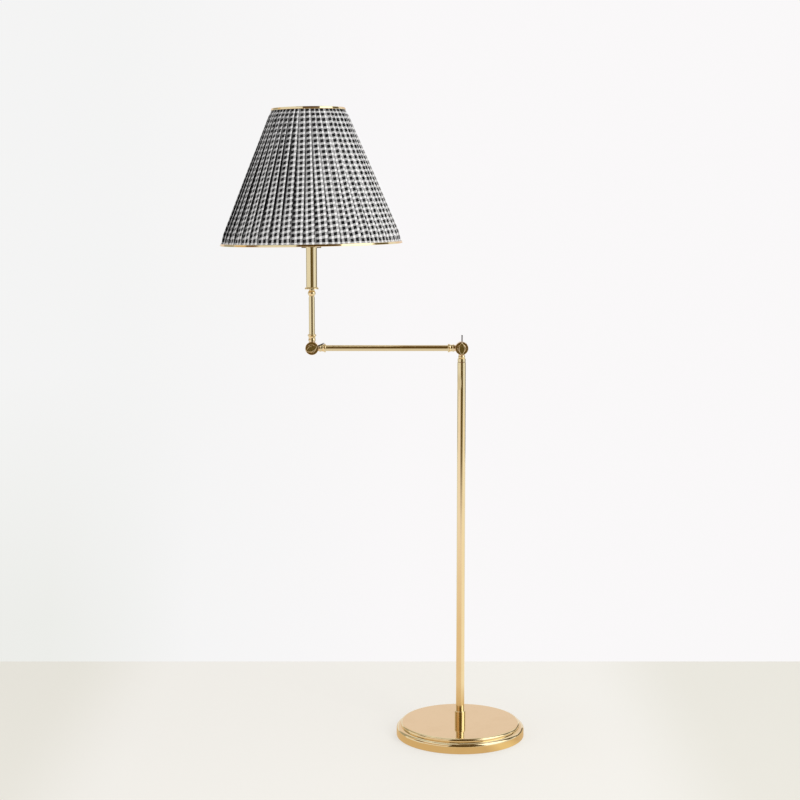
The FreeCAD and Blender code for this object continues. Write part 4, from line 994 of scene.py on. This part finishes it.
def boardsMaterial():
    # the floor as the brass meets it: warm, paler to the right, deeper close to the base, and
    # fading into the dark of the room far off in front
    look = boardLook
    material, tree, shader = glowing("warmBoards")
    across, along, _ = separated(tree, objectPlace(tree))

    def whole(value, ends):
        return ranged(tree, value, *ends, 0.0, 1.0)

    ahead = maths(tree, "MAXIMUM", maths(tree, "MULTIPLY", along, -1.0), 0.05)
    turn = maths(tree, "DIVIDE", across, ahead)
    away = maths(tree, "SQRT", maths(
        tree, "ADD", maths(tree, "MULTIPLY", across, across), maths(tree, "MULTIPLY", along, along)))
    broad = blendColours(tree, whole(away, look["farFrom"]), look["middle"], look["far"])
    wide = blendColours(tree, whole(turn, look["rightFrom"]), broad, look["right"])
    streak = maths(tree, "MULTIPLY", *(whole(turn, ends) for ends in look["streak"]))
    close = blendColours(tree, streak, *look["close"])
    floorTone = blendColours(tree, whole(away, look["middleFrom"]), close, wide)
    between = maths(tree, "MULTIPLY", *(whole(turn, ends) for ends in look["gloom"]))
    deep = addNode(
        tree, "MapRange", ahead, *look["gloomAhead"], 0.0, 1.0, interpolation_type="SMOOTHSTEP")
    gloom = maths(tree, "MULTIPLY", between, deep)
    feed(tree, shader.inputs[0], blendColours(tree, gloom, floorTone, darkRoom))
    return material


boards = flatGrid(boardLook["corners"], boardLook["lift"])
onlyReflected("warmBoards", boards, boardsMaterial())

cardLook = {
    # a card under the arm that its tube and its knuckles reflect
    "corners": ((-0.325, -0.22), (-0.012, 0.10)),
    "level": 0.80,
    "tone": colour(0.80, 0.76, 0.72),
}
card = flatGrid(cardLook["corners"], cardLook["level"])
onlyReflected("paleCard", card, glowing("paleCard", cardLook["tone"])[0])


def areaLight(name, place, target, size, power, tone):
    data = bpy.data.lights.new(name, "AREA")
    data.shape = "RECTANGLE"
    data.size, data.size_y = size
    data.energy = power
    data.color = tone
    light = bpy.data.objects.new(name, data)
    light.location = place
    aim = np.array(target, float) - np.array(place, float)
    flat = math.hypot(aim[0], aim[1])
    light.rotation_euler = (
        math.pi / 2 + math.atan2(aim[2], flat), 0, math.atan2(aim[1], aim[0]) - math.pi / 2
    )
    light.visible_glossy = False
    scene.collection.objects.link(light)


lights = (
    # name, place, what it aims at, size, power in watts and tone
    ("rightBox", (2.55, -3.3, 2.1), (-0.15, 0, 0.9), (1.6, 2.0), 72, (1.0, 0.98, 0.97)),
    ("leftBox", (-3.4, -2.2, 2.0), (-0.1, 0, 0.8), (1.6, 2.0), 20, (0.97, 0.98, 1.0)),
    ("backBox", (1.2, 3.4, 1.9), (-0.25, 0, 1.1), (1.6, 2.0), 30, (1.0, 0.99, 0.98)),
    ("topBox", (0.3, -0.9, 3.4), (-0.2, 0, 0.5), (2.6, 2.6), 20, (1.0, 1.0, 1.0)),
)
for values in lights:
    areaLight(*values)

world = bpy.data.worlds.new("studio")
scene.world = world
world.use_nodes = True
tree = world.node_tree
tree.nodes.clear()
path = tree.nodes.new("ShaderNodeLightPath")
seen = maths(tree, "MAXIMUM", path.outputs["Is Camera Ray"], maths(
    tree, "MAXIMUM", path.outputs["Is Glossy Ray"], path.outputs["Is Transmission Ray"]))
plain = addNode(tree, "Background", studio["ambient"], studio["ambientLevel"])
direction = separated(tree, tree.nodes.new("ShaderNodeTexCoord").outputs["Generated"])
# the backdrop for camera, glossy and transmission rays has painted light: paler to the right, with
# painted shade low on the left
wallTone = blendColours(
    tree, ranged(tree, direction[0], *studio["backdropTurn"], 0.0, 1.0), *studio["backdrop"])
low = 1.0
for part, ends in zip(direction, studio["lowFrom"]):
    low = maths(tree, "MULTIPLY", low, ranged(tree, part, *ends, 0.0, 1.0))
wallTone = blendColours(tree, low, wallTone, studio["backdropLow"])
shown = addNode(tree, "Background", wallTone, 1.0)
both = addNode(tree, "MixShader", seen, plain, shown)
tree.links.new(both, tree.nodes.new("ShaderNodeOutputWorld").inputs[0])
print("studio done")
